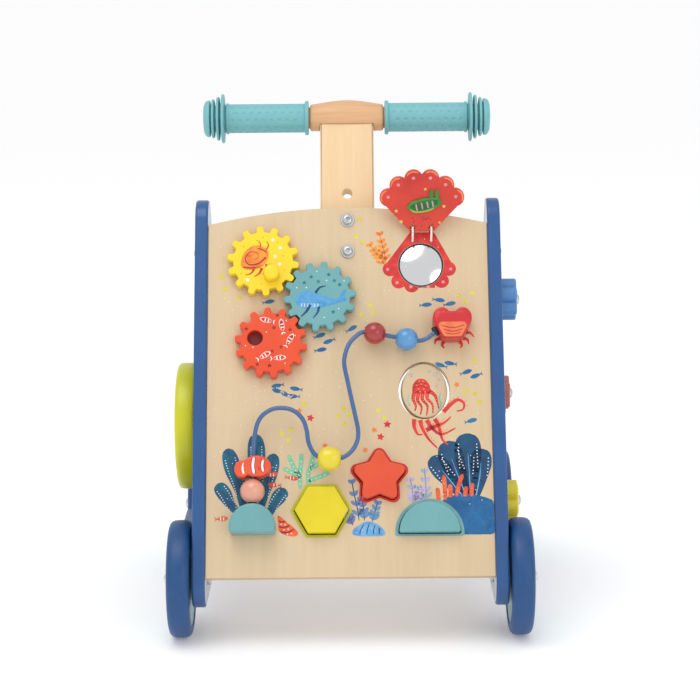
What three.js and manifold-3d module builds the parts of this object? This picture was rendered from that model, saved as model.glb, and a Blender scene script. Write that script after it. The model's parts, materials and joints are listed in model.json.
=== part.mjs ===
// Baby walker with a sloped activity board, in millimetres.
// +Z is up, the board faces -Y and the child walks behind it at +Y.
// The origin is on the floor, midway between the wheels.
import * as THREE from 'three';
import { mergeVertices } from 'three/addons/utils/BufferGeometryUtils.js';
import Module from 'manifold-3d';

const wasm = await Module();
wasm.setup();

// ---- driving dimensions ----
const gap = 0.3; // air left between pieces that touch
const wheelBase = 250;
const wheelRadius = 52.5;
const tyreWidth = 20.5;
const tyreWall = 9.8;
const hubWidth = 18.5;
const wheelClearance = 1.5; // from the side panel to the tyre
const axleRadius = 4;
const runningClearance = 0.5; // a turning bore around its pin, on the radius
const boardWidth = 255.4;
const boardHeight = 341; // up the slope, at the middle of the arched top
const boardCornerDrop = 15.5; // how much lower the arched top is at its ends
const boardThickness = 12;
const boardTilt = 25.5; // degrees back from upright
const boardFoot = 64; // height of the board's lower front edge
const boardFootSetback = -36.3; // of that edge, from the front axle
const panelThickness = 12;
const panelLip = 3; // how far the side panels stand in front of the board
const panelFoot = 33; // height of the panels' lower edge
const panelTopRadius = 24;
const panelFrontRadius = 22;
const panelRearRadius = 28;
const panelPeak = 53; // above the board's upper corners, where the panel's long edges would meet
const panelRearReach = 47; // behind the rear axle, before rounding
const stemWidth = 50;
const stemThickness = 16;
const stemOverlap = 65; // of the stem behind the board, below its top
const barRise = 95.7; // from the board's top to the handle bar's middle
const barHeight = 24;
const barDepth = 25;
const barLength = 71; // between the two grips
const tenonDepth = 11;
const stemBoltRadius = 3;
const boltSpacing = 30;
const lowerBoltDrop = 42.2; // below the board's top
const spareHolePlay = 1.4; // around a bolt in the stem's third hole
const dowelRadius = 10; // bar ends inside the grips
const gripLength = 99;
const gripPlay = 0.5; // around the bar's ends
const gripWall = 3;
const gripFlangeRadius = 16;
const guardRadius = 23.2; // largest ring at the end of each grip
const toothCount = 14;
const gearSpacing = 61.6; // between the centres of meshing gears
const gearThickness = 9.5;
const gearStandoff = 1.5;
const toothTip = 2; // beyond the pitch circle
const toothRootDrop = 0.6; // inside the base circle
const toothBacklash = 0.71; // that each tooth is thinner than half the pitch
const pressureAngle = 25;
const yellowGearDirection = 146.7; // degrees, from the teal gear
const gearPinRadius = 4;
const gearPinGrip = 4.5; // depth of each pin in its gear
const knobRadius = 7.2;
const knobHeight = 11;
const knobOffset = [8, -13.5]; // from the yellow gear's middle
const fingerHoleRadius = 7;
const fingerHoleDepth = 7;
const fingerHoleOffset = [-14.2, 4.3]; // from the orange gear's middle
const windowHalf = [23.2, 26.4];
const flipDiscGap = [2.4, 1.4]; // between disc and window, across and up
const flipDiscTurn = 10; // degrees, as it rests
const flipDiscThickness = 8.5;
const flipPinRadius = 1.5;
const flipPinDepth = 7; // of each hole in the disc
const flipPinHold = 6.5; // of each pin in the board
const mirrorOffset = [-1.3, -28.8]; // from the middle of the flap's hinge
const mirrorRadius = 20.3;
const mirrorThickness = 1.6;
const leafHingeStand = 3.2; // hinge line in front of the board
const leafLean = 30; // degrees forward of the board at rest
const leafThickness = 5;
const leafFootHalf = 12.3;
const leafLobeRing = [33, 30]; // half width and half height of the lobes' arc
const leafLobeRingUp = 22;
const leafLobeRadius = 8.4;
const loopSpread = 8.5; // of each cord loop from the leaf's middle
const loopRadius = 6.5;
const loopCordRadius = 1.1;
const slugThickness = 2.6;
const wireRadius = 2;
const beadPlay = 2; // around the wire, on the radius
const pinkBeadRadius = 10.9;
const fishHalfHeight = 9.5;
const fishHalfThickness = 9;
const domeHalf = 20.3;
const domeHeight = 26;
const anchorDepth = 20; // thickness of the two blocks that hold the wire
const blockThickness = 20;
const blockClearance = 0.8;
const hexagonRadius = 23.8;
const starRadius = 27.5;
const starInnerRadius = 15.6;
const starTipRounding = 4.4;
const moonRadius = 27;
const backingThickness = 5;
const backingMargin = 14; // around the three sockets
const drumRadius = 58.5;
const drumThickness = 17.5;
const drumPlace = [90, 172]; // behind the front axle, and up
const charmThickness = 15;
const charmRadius = 19.5;
const charmPlaces = { blue: [110, 285], pink: [177, 181], yellow: [75, 102] };
const charmBoltRadius = 2.5;
const railWidth = 18;
const railHeight = 14;
const railFrontGap = 9.5; // from the front tyre
const railRearGap = 44.5; // from the rear tyre
const railTop = 74;
const braceThickness = 18;
const braceHeight = 46;
const bracePlace = [52, 92]; // its middle, behind the front axle, and up

// ---- places on the board, across and up, drawn for a board of this size ----
const drawnWidth = 255.4;
const drawnHeight = 341;

function onBoard([x, y, ...rest]) {
  return [(x * boardWidth) / drawnWidth, (y * boardHeight) / drawnHeight, ...rest];
}

const tealGearPlace = onBoard([-25.6, 253.7]);
const windowPlace = onBoard([67.6, 168]);
const leafHinge = onBoard([67.9, 314.2]);
const mirrorPlace = [leafHinge[0] + mirrorOffset[0], leafHinge[1] + mirrorOffset[1]];
const domePlace = onBoard([-86, 37.6]);
const crabPlace = onBoard([93.4, 225.7]);
const hexagonPlace = onBoard([-25.3, 59.2]);
const starPlace = onBoard([26.4, 88.8]);
const moonPlace = onBoard([70.4, 38.6]);

// the wire's bends by hand: across the board, up it, and out from its face
const yellowBeadPlace = onBoard([-17.9, 102.7, 18]);

// the yellow bead keeps its own stretch of wire, whatever the board's size
function byYellowBead([x, y]) {
  return [yellowBeadPlace[0] + x, yellowBeadPlace[1] + y, yellowBeadPlace[2]];
}

const wireRoute = [
  ...[
    [-86, 53, 12], [-86, 66, 12], [-85.8, 84, 12], [-85.4, 104, 12], [-83.8, 127, 12.5],
    [-79.4, 140.4, 13.5], [-70.2, 147.8, 14.5], [-59.7, 149.3, 16], [-49.3, 146.4, 17],
    [-41.3, 138.4, 18], [-37.8, 128.2, 18],
  ].map(onBoard),
  ...[
    [-18.3, 14.9], [-14.1, 5.7], [-8.3, 1.1], [0, 0], [8.3, 0], [14.9, 2.5],
  ].map(byYellowBead),
  ...[
    [2.8, 110.4, 18], [7, 118.5, 18], [7.8, 128, 18], [5.4, 141, 18], [1.8, 158, 18],
    [-1.4, 174, 17.7], [-3.9, 187, 17.2], [-3.6, 195.5, 16.6], [-0.4, 206, 15.6],
    [5.2, 213.6, 14.7], [13, 218.8, 14], [23.6, 217.9, 13.4], [38, 215.1, 12.7],
    [52.2, 212.4, 12.1], [62, 210.9, 11.6], [70, 213, 11], [77, 218.4, 11], [84, 224.5, 11],
  ].map(onBoard),
];

// ---- places worked out from them ----
const radians = THREE.MathUtils.degToRad;
const frontAxle = -wheelBase / 2;
const tilt = radians(boardTilt);
const panelInner = boardWidth / 2 + gap;
const panelOuter = panelInner + panelThickness;
const socketDepth = boardThickness + gap;
const boardCornerTop = boardFoot + (boardHeight - boardCornerDrop) * Math.cos(tilt);
const panelTopHeight = boardCornerTop + panelPeak;
const stemFootUp = boardHeight - stemOverlap;
const lowerBoltUp = boardHeight - lowerBoltDrop;
const barUp = boardHeight + barRise;
const gripBore = dowelRadius + gripPlay;
const gripRadius = gripBore + gripWall;
const pitchRadius = gearSpacing / 2;
const baseRadius = pitchRadius * Math.cos(radians(pressureAngle));
const toothPitch = 360 / toothCount;
const toothThickness = (Math.PI * pitchRadius) / toothCount - toothBacklash;
const flipDiscHalf = windowHalf.map((half, index) => half - flipDiscGap[index]);
const beadBore = wireRadius + beadPlay;
const railSpan = [wheelRadius + railFrontGap, wheelBase - wheelRadius - railRearGap];

// ---- materials ----
function paint(color, roughness = 0.5, metalness = 0) {
  return new THREE.MeshStandardMaterial({ color, roughness, metalness });
}
const bluePaint = paint(0x3c69a0);
const birch = paint(0xdec6a0, 0.6);
const beech = paint(0xe1b487, 0.55);
const tealRubber = paint(0x73b9be, 0.6);
const tealPaint = paint(0x82b4af);
const blueRubber = paint(0x235891, 0.6);
const steel = paint(0xb8bcc0, 0.3, 1);
const yellowPaint = paint(0xf6de32, 0.4);
const orangePaint = paint(0xed5a32, 0.4);
const redPaint = paint(0xe13c2d, 0.4);
const limePaint = paint(0xc3c31e, 0.4);
const pinkPaint = paint(0xe6a08c, 0.4);
const skyPaint = paint(0x64a0d7, 0.4);
const greenFelt = paint(0x5fae4a, 0.9);
const whiteCord = paint(0xf2f2ee, 0.8);
const mirrorGlass = paint(0xe8ecf0, 0.05, 1);
const wireCoat = paint(0x4b78aa, 0.35);

// ---- solids ----
function solidOf(geometry) {
  const bare = geometry.clone();
  bare.deleteAttribute('normal');
  bare.deleteAttribute('uv');
  const merged = mergeVertices(bare, 1e-3);
  return new wasm.Manifold(new wasm.Mesh({
    numProp: 3,
    vertProperties: new Float32Array(merged.attributes.position.array),
    triVerts: new Uint32Array(merged.index.array),
  }));
}

function geometryOf(solid) {
  const mesh = solid.getMesh();
  const geometry = new THREE.BufferGeometry();
  geometry.setAttribute('position', new THREE.BufferAttribute(mesh.vertProperties, 3));
  geometry.setIndex(new THREE.BufferAttribute(mesh.triVerts, 1));
  geometry.computeVertexNormals();
  return geometry;
}

function cut(body, ...tools) {
  const rest = tools.reduce((solid, tool) => solid.subtract(solidOf(tool)), solidOf(body));
  return geometryOf(rest);
}

function join(first, ...others) {
  return geometryOf(others.reduce((solid, other) => solid.add(solidOf(other)), solidOf(first)));
}

// a flat outline from depth `from` to depth `to` along local Z
function plate(shape, from, to, curveSegments = 24) {
  const options = { depth: to - from, bevelEnabled: false, curveSegments };
  return new THREE.ExtrudeGeometry(shape, options).translate(0, 0, from);
}

function box(width, height, depth, x = 0, y = 0, z = 0) {
  return new THREE.BoxGeometry(width, height, depth).translate(x, y, z);
}

// a round bar along local Z
function rod(radius, from, to, x = 0, y = 0, sides = 16) {
  const bar = new THREE.CylinderGeometry(radius, radius, to - from, sides).rotateX(Math.PI / 2);
  return bar.translate(x, y, (from + to) / 2);
}

// a turned piece about local Z: its profile is a list of [radius, height]
function turned(profile, sides = 32) {
  const points = profile.map(([radius, height]) => new THREE.Vector2(radius, height));
  return new THREE.LatheGeometry(points, sides).rotateX(Math.PI / 2);
}

function ring(profile, sides = 32) {
  return turned([...profile, profile[0]], sides);
}

// a closed outline of given corners, each rounded by its own radius
function roundedOutline(corners) {
  const shape = new THREE.Shape();
  corners.forEach(([x, y, radius], index) => {
    const before = corners[(index + corners.length - 1) % corners.length];
    const after = corners[(index + 1) % corners.length];
    const here = new THREE.Vector2(x, y);
    const back = new THREE.Vector2(before[0], before[1]).sub(here).normalize();
    const ahead = new THREE.Vector2(after[0], after[1]).sub(here).normalize();
    const halfAngle = Math.acos(THREE.MathUtils.clamp(back.dot(ahead), -1, 1)) / 2;
    const reach = radius / Math.tan(halfAngle);
    const middle = back.clone().add(ahead).normalize();
    const centre = middle.multiplyScalar(radius / Math.sin(halfAngle)).add(here);
    const start = back.multiplyScalar(reach).add(here).sub(centre);
    const end = ahead.multiplyScalar(reach).add(here).sub(centre);
    const turnsLeft = start.cross(end) > 0;
    shape.absarc(centre.x, centre.y, radius, start.angle(), end.angle(), !turnsLeft);
  });
  shape.closePath();
  return shape;
}

function ellipseShape(halfWidth, halfHeight, x = 0, y = 0) {
  const shape = new THREE.Shape();
  shape.absellipse(x, y, halfWidth, halfHeight, 0, 2 * Math.PI, false, 0);
  return shape;
}

// ---- scene graph ----
const walker = new THREE.Group();
const slope = new THREE.Group(); // local X along the board, Y up it, Z out of its face
slope.position.set(0, frontAxle + boardFootSetback, boardFoot);
slope.rotation.x = Math.PI / 2 - tilt;
walker.add(slope);

function add(parent, name, geometry, material, [x, y, z] = [0, 0, 0]) {
  const mesh = new THREE.Mesh(geometry, material);
  mesh.name = name;
  mesh.position.set(x, y, z);
  parent.add(mesh);
  return mesh;
}

// outlines drawn on a side panel use Y and Z of the walker and grow along X
function sideways(geometry) {
  const alongY = new THREE.Vector3(0, 1, 0);
  const alongZ = new THREE.Vector3(0, 0, 1);
  const alongX = new THREE.Vector3(1, 0, 0);
  return geometry.applyMatrix4(new THREE.Matrix4().makeBasis(alongY, alongZ, alongX));
}

// ---- side panels ----
function panelOutline() {
  const slopeRun = Math.tan(tilt);
  const lip = panelLip / Math.cos(tilt);
  const frontAt = (z) => frontAxle + boardFootSetback - lip + (z - boardFoot) * slopeRun;
  return roundedOutline([
    [frontAt(panelFoot), panelFoot, panelFrontRadius],
    [wheelBase / 2 + panelRearReach, panelFoot, panelRearRadius],
    [frontAt(panelTopHeight), panelTopHeight, panelTopRadius],
  ]);
}

function sidePanel(pinPlaces) {
  const blank = plate(panelOutline(), 0, panelThickness, 8);
  const holes = pinPlaces.map(([radius, y, z]) => rod(radius + gap, -1, panelThickness + 1, y, z, 12));
  return sideways(cut(blank, ...holes));
}

function addPanels() {
  const axles = [frontAxle, -frontAxle].map((y) => [axleRadius, y, wheelRadius]);
  const drumHole = [axleRadius, frontAxle + drumPlace[0], drumPlace[1]];
  const charmHoles = Object.values(charmPlaces).map(([y, z]) => [charmBoltRadius, frontAxle + y, z]);
  const left = sidePanel([...axles, drumHole]);
  const right = sidePanel([...axles, ...charmHoles]);
  add(walker, 'left_side_panel', left, bluePaint, [-panelOuter, 0, 0]);
  add(walker, 'right_side_panel', right, bluePaint, [panelInner, 0, 0]);
}

// ---- activity board ----
function boardOutline() {
  const half = boardWidth / 2;
  const cornerHeight = boardHeight - boardCornerDrop;
  const archRadius = (half * half + boardCornerDrop ** 2) / (2 * boardCornerDrop);
  const halfSweep = Math.asin(half / archRadius);
  const shape = new THREE.Shape();
  shape.moveTo(-half, 0);
  shape.lineTo(half, 0);
  shape.lineTo(half, cornerHeight);
  const right = Math.PI / 2 - halfSweep;
  const left = Math.PI / 2 + halfSweep;
  shape.absarc(0, boardHeight - archRadius, archRadius, right, left, false);
  shape.closePath();
  return shape;
}

function hexagonOutline(radius) {
  const corners = Array.from({ length: 6 }, (_, index) => {
    const angle = radians(60 * index);
    return [radius * Math.cos(angle), radius * Math.sin(angle), 0.6];
  });
  return roundedOutline(corners);
}

function starOutline(radius, innerRadius, rounding) {
  const corners = Array.from({ length: 10 }, (_, index) => {
    const angle = radians(90 + 36 * index);
    const reach = index % 2 ? innerRadius : radius;
    return [reach * Math.cos(angle), reach * Math.sin(angle), index % 2 ? 0.8 : rounding];
  });
  return roundedOutline(corners);
}

function moonOutline(radius) {
  const shape = new THREE.Shape();
  shape.moveTo(-radius, 0);
  shape.lineTo(radius, 0);
  shape.absarc(0, 0, radius, 0, Math.PI, false);
  shape.closePath();
  return shape;
}

// the grown moon socket also starts lower, so the block's flat side clears it
function moonSocket() {
  const reach = moonRadius + blockClearance;
  const shape = new THREE.Shape();
  shape.moveTo(-reach, -blockClearance);
  shape.lineTo(reach, -blockClearance);
  shape.absarc(0, 0, reach, 0, Math.PI, false);
  shape.closePath();
  return shape;
}

// a star's outline moved outwards by the clearance on every side
function starSocket() {
  const notch = radians(36);
  const run = starRadius - starInnerRadius * Math.cos(notch);
  const side = Math.hypot(run, starInnerRadius * Math.sin(notch));
  const sideDistance = (starRadius * starInnerRadius * Math.sin(notch)) / side;
  const grow = 1 + blockClearance / sideDistance;
  return starOutline(starRadius * grow, starInnerRadius * grow, starTipRounding + blockClearance);
}

function hexagonSocket() {
  return hexagonOutline(hexagonRadius + blockClearance / Math.cos(Math.PI / 6));
}

const through = [-boardThickness - 1, 1];

function throughBoard(shape, [x, y], segments = 16) {
  return plate(shape, ...through, segments).translate(x, y, 0);
}

function gearPlaces() {
  const at = (direction) => [
    tealGearPlace[0] + gearSpacing * Math.cos(radians(direction)),
    tealGearPlace[1] + gearSpacing * Math.sin(radians(direction)),
  ];
  const yellow = at(yellowGearDirection);
  const orange = at(yellowGearDirection + 3 * toothPitch);
  return { teal: tealGearPlace, yellow, orange };
}

// each cord loop dips into the board and runs behind a short bridge of wood
function loopSlot(x) {
  const reach = loopRadius + loopCordRadius + 0.6;
  const width = 2 * loopCordRadius + 1.4;
  const depth = loopRadius - leafHingeStand + loopCordRadius + 1.4;
  const bridge = 2; // half its height
  const side = (sign) => box(
    width, reach - bridge, depth + 1,
    x, leafHinge[1] + (sign * (reach + bridge)) / 2, (1 - depth) / 2,
  );
  const tunnelRoof = 1.4;
  const tunnelMiddle = -(depth + tunnelRoof) / 2;
  const tunnel = box(width, 2 * bridge + 1, depth - tunnelRoof, x, leafHinge[1], tunnelMiddle);
  return [side(1), side(-1), tunnel];
}

function addBoard() {
  const tools = [
    throughBoard(ellipseShape(...windowHalf), windowPlace, 14),
    throughBoard(hexagonSocket(), hexagonPlace, 2),
    throughBoard(starSocket(), starPlace, 4),
    throughBoard(moonSocket(), moonPlace, 12),
    rod(mirrorRadius + gap, -mirrorThickness - 2 * gap, 1, ...mirrorPlace, 28),
  ];
  for (const place of Object.values(gearPlaces())) {
    tools.push(rod(gearPinRadius + runningClearance, ...through, ...place, 12));
  }
  for (let index = 0; index < 2; index += 1) {
    tools.push(rod(stemBoltRadius + gap, ...through, 0, lowerBoltUp + index * boltSpacing, 12));
  }
  for (const side of [-1, 1]) {
    tools.push(...loopSlot(leafHinge[0] + side * loopSpread));
    const pinAt = windowPlace[1] + side * (windowHalf[1] + flipPinHold / 2);
    const reach = flipPinHold / 2 + 1;
    const pinHole = rod(flipPinRadius + gap, -reach, reach, 0, 0, 12).rotateX(Math.PI / 2);
    tools.push(pinHole.translate(windowPlace[0], pinAt, -boardThickness / 2));
  }
  add(slope, 'activity_board', cut(plate(boardOutline(), -boardThickness, 0, 12), ...tools), birch);
}

// ---- handle ----
function addStem() {
  const back = -boardThickness - gap - stemThickness;
  const front = -boardThickness - gap;
  const top = barUp - barHeight / 2 + tenonDepth;
  const outline = roundedOutline([
    [-stemWidth / 2, stemFootUp, 5], [stemWidth / 2, stemFootUp, 5],
    [stemWidth / 2, top, 0.5], [-stemWidth / 2, top, 0.5],
  ]);
  const holes = [gap, gap, spareHolePlay].map((play, index) => (
    rod(stemBoltRadius + play, back - 1, front + 1, 0, lowerBoltUp + index * boltSpacing, 14)
  ));
  add(slope, 'handle_stem', cut(plate(outline, back, front, 4), ...holes), birch);
  ['lower', 'upper'].forEach((name, index) => {
    add(slope, `stem_bolt_${name}`, stemBolt(), steel, [0, lowerBoltUp + index * boltSpacing, 0]);
  });
}

// dome head and washer in front of the board, washer and nut behind the stem
function stemBolt() {
  const shank = stemBoltRadius;
  const back = -boardThickness - 2 * gap - stemThickness;
  const front = turned([
    [0, back - 6], [shank, back - 6], [shank, gap], [6.3, gap], [6.3, gap + 1.2],
    [4.6, gap + 1.2], [4.4, gap + 2.8], [0, gap + 4.8],
  ], 16);
  const nut = turned([[0, back - 5], [5.6, back - 5], [5.6, back], [0, back]], 6);
  return join(front, nut);
}

function barShape() {
  const width = barDepth / 2;
  const height = barHeight / 2;
  return roundedOutline([
    [-width, -height, 6], [width, -height, 6], [width, height, 8], [-width, height, 8],
  ]);
}

function addCrossbar() {
  const middle = -boardThickness - gap - stemThickness / 2;
  const body = plate(barShape(), -barLength / 2, barLength / 2, 5);
  const dowel = rod(dowelRadius, -barLength / 2 - gripLength + 8, barLength / 2 + gripLength - 8);
  const solid = join(body, dowel).rotateY(Math.PI / 2);
  const floorUp = -barHeight / 2 + tenonDepth / 2 - 1;
  const mortiseSize = [stemWidth, tenonDepth + 2, stemThickness].map((size) => size + 2 * gap);
  const mortise = box(...mortiseSize, 0, floorUp, 0);
  add(slope, 'handle_crossbar', cut(solid, mortise), beech, [0, barUp, middle]);
}

// a grip is turned in rubber: inner flange, tube, collar, three guard rings and a dome
function gripGeometry() {
  const end = gripLength;
  const outer = [
    [gripBore, 0], [gripFlangeRadius, 0], [gripFlangeRadius, 3.2], [gripRadius, 3.8],
    [gripRadius, end - 24.4], [gripRadius + 1.1, end - 24.2], [gripRadius + 1.1, end - 22],
    [18.5, end - 21.8], [guardRadius, end - 20.4], [guardRadius, end - 16.4],
    [17.6, end - 15.2], [20.7, end - 14.4], [20.7, end - 11.6],
    [16.4, end - 10.8], [18.6, end - 10], [18.6, end - 7.4], [15.6, end - 6.6],
    [17.2, end - 5.6], [15.6, end - 2], [0, end],
  ];
  return turned([[0, end - 6], [gripBore, end - 6], ...outer], 18);
}

function addGrips() {
  const middle = -boardThickness - gap - stemThickness / 2;
  for (const [name, side] of [['left_grip', -1], ['right_grip', 1]]) {
    const grip = gripGeometry().rotateY((side * Math.PI) / 2);
    add(slope, name, grip, tealRubber, [side * (barLength / 2 + gap), barUp, middle]);
  }
}

// ---- wheels ----
function tyreGeometry() {
  const half = tyreWidth / 2;
  const inner = wheelRadius - tyreWall;
  return ring([
    [inner, half - 1], [inner, -half + 1], [inner + 1.4, -half], [wheelRadius - 2.8, -half + 1.4],
    [wheelRadius, -3.5], [wheelRadius, 3.5], [wheelRadius - 2.8, half - 1.4], [inner + 1.4, half],
  ], 36);
}

function hubGeometry() {
  const half = hubWidth / 2;
  const rim = wheelRadius - tyreWall - gap;
  const bore = axleRadius + runningClearance;
  return ring([
    [bore, -half], [rim, -half], [rim, half], [rim - 8, half],
    [rim - 10, half - 2], [15, half - 2], [13, half], [bore, half],
  ], 24);
}

// along local Z: dome head outside the wheel, low round nut inside the panel
function axleBoltGeometry() {
  const inner = -panelThickness - gap;
  const wheelOutside = wheelClearance + (tyreWidth + hubWidth) / 2 + runningClearance;
  return turned([
    [0, inner - 2.6], [5.6, inner - 2.6], [5.6, inner], [axleRadius, inner],
    [axleRadius, wheelOutside], [6.8, wheelOutside], [6.8, wheelOutside + 2],
    [5.2, wheelOutside + 4.8], [0, wheelOutside + 6.6],
  ], 12);
}

function addWheels() {
  const middle = wheelClearance + tyreWidth / 2;
  for (const [end, y] of [['front', frontAxle], ['rear', -frontAxle]]) {
    for (const [side, sign] of [['left', -1], ['right', 1]]) {
      const station = new THREE.Group();
      station.position.set(sign * panelOuter, y, wheelRadius);
      station.rotation.y = (sign * Math.PI) / 2;
      walker.add(station);
      add(station, `tyre_${end}_${side}`, tyreGeometry(), blueRubber, [0, 0, middle]);
      add(station, `hub_${end}_${side}`, hubGeometry(), tealPaint, [0, 0, middle]);
      add(station, `axle_bolt_${end}_${side}`, axleBoltGeometry(), steel);
    }
  }
}

// ---- gears ----
function involute(angle) {
  return Math.tan(angle) - angle;
}

// half the angle that a tooth fills at a given radius
function toothHalfAngle(radius) {
  const slant = Math.acos(Math.min(1, baseRadius / radius));
  return toothThickness / (2 * pitchRadius) + involute(radians(pressureAngle)) - involute(slant);
}

// involute flanks with a rounded tip; the first tooth points along local X
function gearOutline() {
  const crownStart = pitchRadius + toothTip * 0.3;
  const tip = pitchRadius + toothTip;
  const root = baseRadius - toothRootDrop;
  const side = [baseRadius, pitchRadius, crownStart].map((radius) => [radius, toothHalfAngle(radius)]);
  const crownShare = 0.8; // of the rounded crown, where its one side point lies
  const crownSpread = toothHalfAngle(crownStart) * Math.sqrt(1 - crownShare ** 2);
  side.push([crownStart + (tip - crownStart) * crownShare, crownSpread]);
  const points = [];
  for (let tooth = 0; tooth < toothCount; tooth += 1) {
    const centre = radians(tooth * toothPitch);
    const polar = (radius, angle) => new THREE.Vector2(radius, 0).rotateAround(new THREE.Vector2(), angle);
    points.push(polar(root, centre - radians(toothPitch) / 2));
    for (const [radius, spread] of side) points.push(polar(radius, centre - spread));
    points.push(polar(tip, centre));
    for (const [radius, spread] of [...side].reverse()) points.push(polar(radius, centre + spread));
  }
  return new THREE.Shape(points);
}

// glued in the gear's back, through the board, with a cap behind it
function gearPinGeometry() {
  const back = -boardThickness - runningClearance;
  return turned([
    [0, back - 2.5], [7.5, back - 2.5], [8, back - 2], [8, back],
    [gearPinRadius, back], [gearPinRadius, gearStandoff + gearPinGrip], [0, gearStandoff + gearPinGrip],
  ], 14);
}

function addGears() {
  const places = gearPlaces();
  const orangeDirection = yellowGearDirection + 3 * toothPitch;
  const phases = {
    teal: yellowGearDirection + toothPitch / 2,
    yellow: yellowGearDirection + 180,
    orange: orangeDirection + 180,
  };
  const paints = { teal: tealPaint, yellow: yellowPaint, orange: orangePaint };
  const top = gearStandoff + gearThickness;
  for (const [name, [x, y]] of Object.entries(places)) {
    const socket = rod(gearPinRadius + gap, 0, gearStandoff + gearPinGrip + gap, 0, 0, 16);
    const blank = plate(gearOutline(), gearStandoff, top).rotateZ(radians(phases[name]));
    const tools = [socket];
    if (name === 'orange') {
      tools.push(rod(fingerHoleRadius, top - fingerHoleDepth, top + 1, ...fingerHoleOffset, 24));
    }
    add(slope, `gear_${name}`, cut(blank, ...tools), paints[name], [x, y, 0]);
    add(slope, `gear_pin_${name}`, gearPinGeometry(), beech, [x, y, 0]);
  }
  const knob = turned([
    [0, 0], [knobRadius, 0], [knobRadius, knobHeight - 1.2], [knobRadius - 1.2, knobHeight],
    [0, knobHeight],
  ], 24);
  const [x, y] = places.yellow;
  add(slope, 'gear_knob', knob, yellowPaint, [x + knobOffset[0], y + knobOffset[1], top + gap]);
}

// ---- flip disc ----
function addFlipDisc() {
  const [halfWidth, halfHeight] = flipDiscHalf;
  const half = flipDiscThickness / 2;
  const blank = plate(ellipseShape(halfWidth, halfHeight), -half, half, 14);
  const bore = flipPinRadius + runningClearance;
  const tools = [-1, 1].map((side) => {
    const hole = rod(bore, -flipPinDepth, flipPinDepth, 0, 0, 12).rotateX(Math.PI / 2);
    return hole.translate(0, side * halfHeight, 0);
  });
  const disc = cut(blank, ...tools).rotateY(radians(flipDiscTurn));
  const centre = [windowPlace[0], windowPlace[1], -boardThickness / 2];
  add(slope, 'flip_disc', disc, birch, centre);
  for (const [name, side] of [['top', 1], ['bottom', -1]]) {
    const inner = halfHeight - flipPinDepth + 1;
    const outer = windowHalf[1] + flipPinHold;
    const pin = rod(flipPinRadius, inner, outer, 0, 0, 12).rotateX((-side * Math.PI) / 2);
    add(slope, `flip_pin_${name}`, pin, steel, centre);
  }
}

// ---- mirror and shell flap ----
function addMirror() {
  const glass = rod(mirrorRadius, -mirrorThickness - gap, -gap, 0, 0, 32);
  add(slope, 'mirror', glass, mirrorGlass, [...mirrorPlace, 0]);
}

// six round lobes on an arc over a tapering foot; local Y runs from the hinge to the lobes
function leafGeometry() {
  const half = leafThickness / 2;
  const lobes = Array.from({ length: 6 }, (_, index) => {
    const angle = radians(24 + 26.4 * index);
    return [leafLobeRing[0] * Math.cos(angle), leafLobeRingUp + leafLobeRing[1] * Math.sin(angle)];
  });
  const foot = roundedOutline([
    [leafFootHalf, 2.6, 2], [lobes[0][0] + 4, lobes[0][1] - 6, 1],
    ...lobes.map(([x, y]) => [x, y, 0.5]),
    [lobes[5][0] - 4, lobes[5][1] - 6, 1], [-leafFootHalf, 2.6, 2],
  ]);
  const discs = lobes.map((place) => (
    plate(ellipseShape(leafLobeRadius, leafLobeRadius, ...place), -half, half, 8)
  ));
  const holes = [-1, 1].map((side) => rod(2.3, -half - 1, half + 1, side * loopSpread, loopRadius, 14));
  return cut(join(plate(foot, -half, half, 3), ...discs), ...holes);
}

function slugGeometry() {
  const body = roundedOutline([
    [-15, 25, 2], [-6, 20, 4], [8, 22.5, 5], [18.5, 28.5, 3], [15, 35, 3], [2, 34, 6], [-9, 31, 4],
  ]);
  const bottom = leafThickness / 2 + gap;
  const feelers = [-1, 1].map((side) => (
    plate(ellipseShape(1.7, 5, 11 + side * 2.6, 37), bottom, bottom + slugThickness, 6)
  ));
  return join(plate(body, bottom, bottom + slugThickness, 5), ...feelers);
}

function addShellFlap() {
  const hinge = new THREE.Group();
  hinge.position.set(leafHinge[0], leafHinge[1], leafHingeStand);
  hinge.rotation.x = radians(leafLean);
  slope.add(hinge);
  add(hinge, 'shell_flap', leafGeometry(), redPaint);
  add(hinge, 'slug_applique', slugGeometry(), greenFelt);
  for (const [name, side] of [['left', -1], ['right', 1]]) {
    const loop = new THREE.TorusGeometry(loopRadius, loopCordRadius, 6, 18).rotateY(Math.PI / 2);
    const place = [leafHinge[0] + side * loopSpread, leafHinge[1], leafHingeStand];
    add(slope, `cord_loop_${name}`, loop, whiteCord, place);
  }
}

// ---- bead wire ----
function wireCurve() {
  return new THREE.CatmullRomCurve3(wireRoute.map((point) => new THREE.Vector3(...point)));
}

function addWire() {
  const section = ellipseShape(wireRadius, wireRadius);
  const options = { extrudePath: wireCurve(), steps: 56, curveSegments: 4, bevelEnabled: false };
  add(slope, 'bead_wire', new THREE.ExtrudeGeometry(section, options), wireCoat);
}

// where the wire passes nearest to a place, and its direction there
function wireAt(x, y) {
  const curve = wireCurve();
  const target = new THREE.Vector2(x, y);
  let best = { share: 0, distance: Infinity };
  for (let index = 0; index <= 2000; index += 1) {
    const point = curve.getPointAt(index / 2000);
    const distance = target.distanceTo(new THREE.Vector2(point.x, point.y));
    if (distance < best.distance) best = { share: index / 2000, distance };
  }
  return { point: curve.getPointAt(best.share), direction: curve.getTangentAt(best.share) };
}

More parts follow.
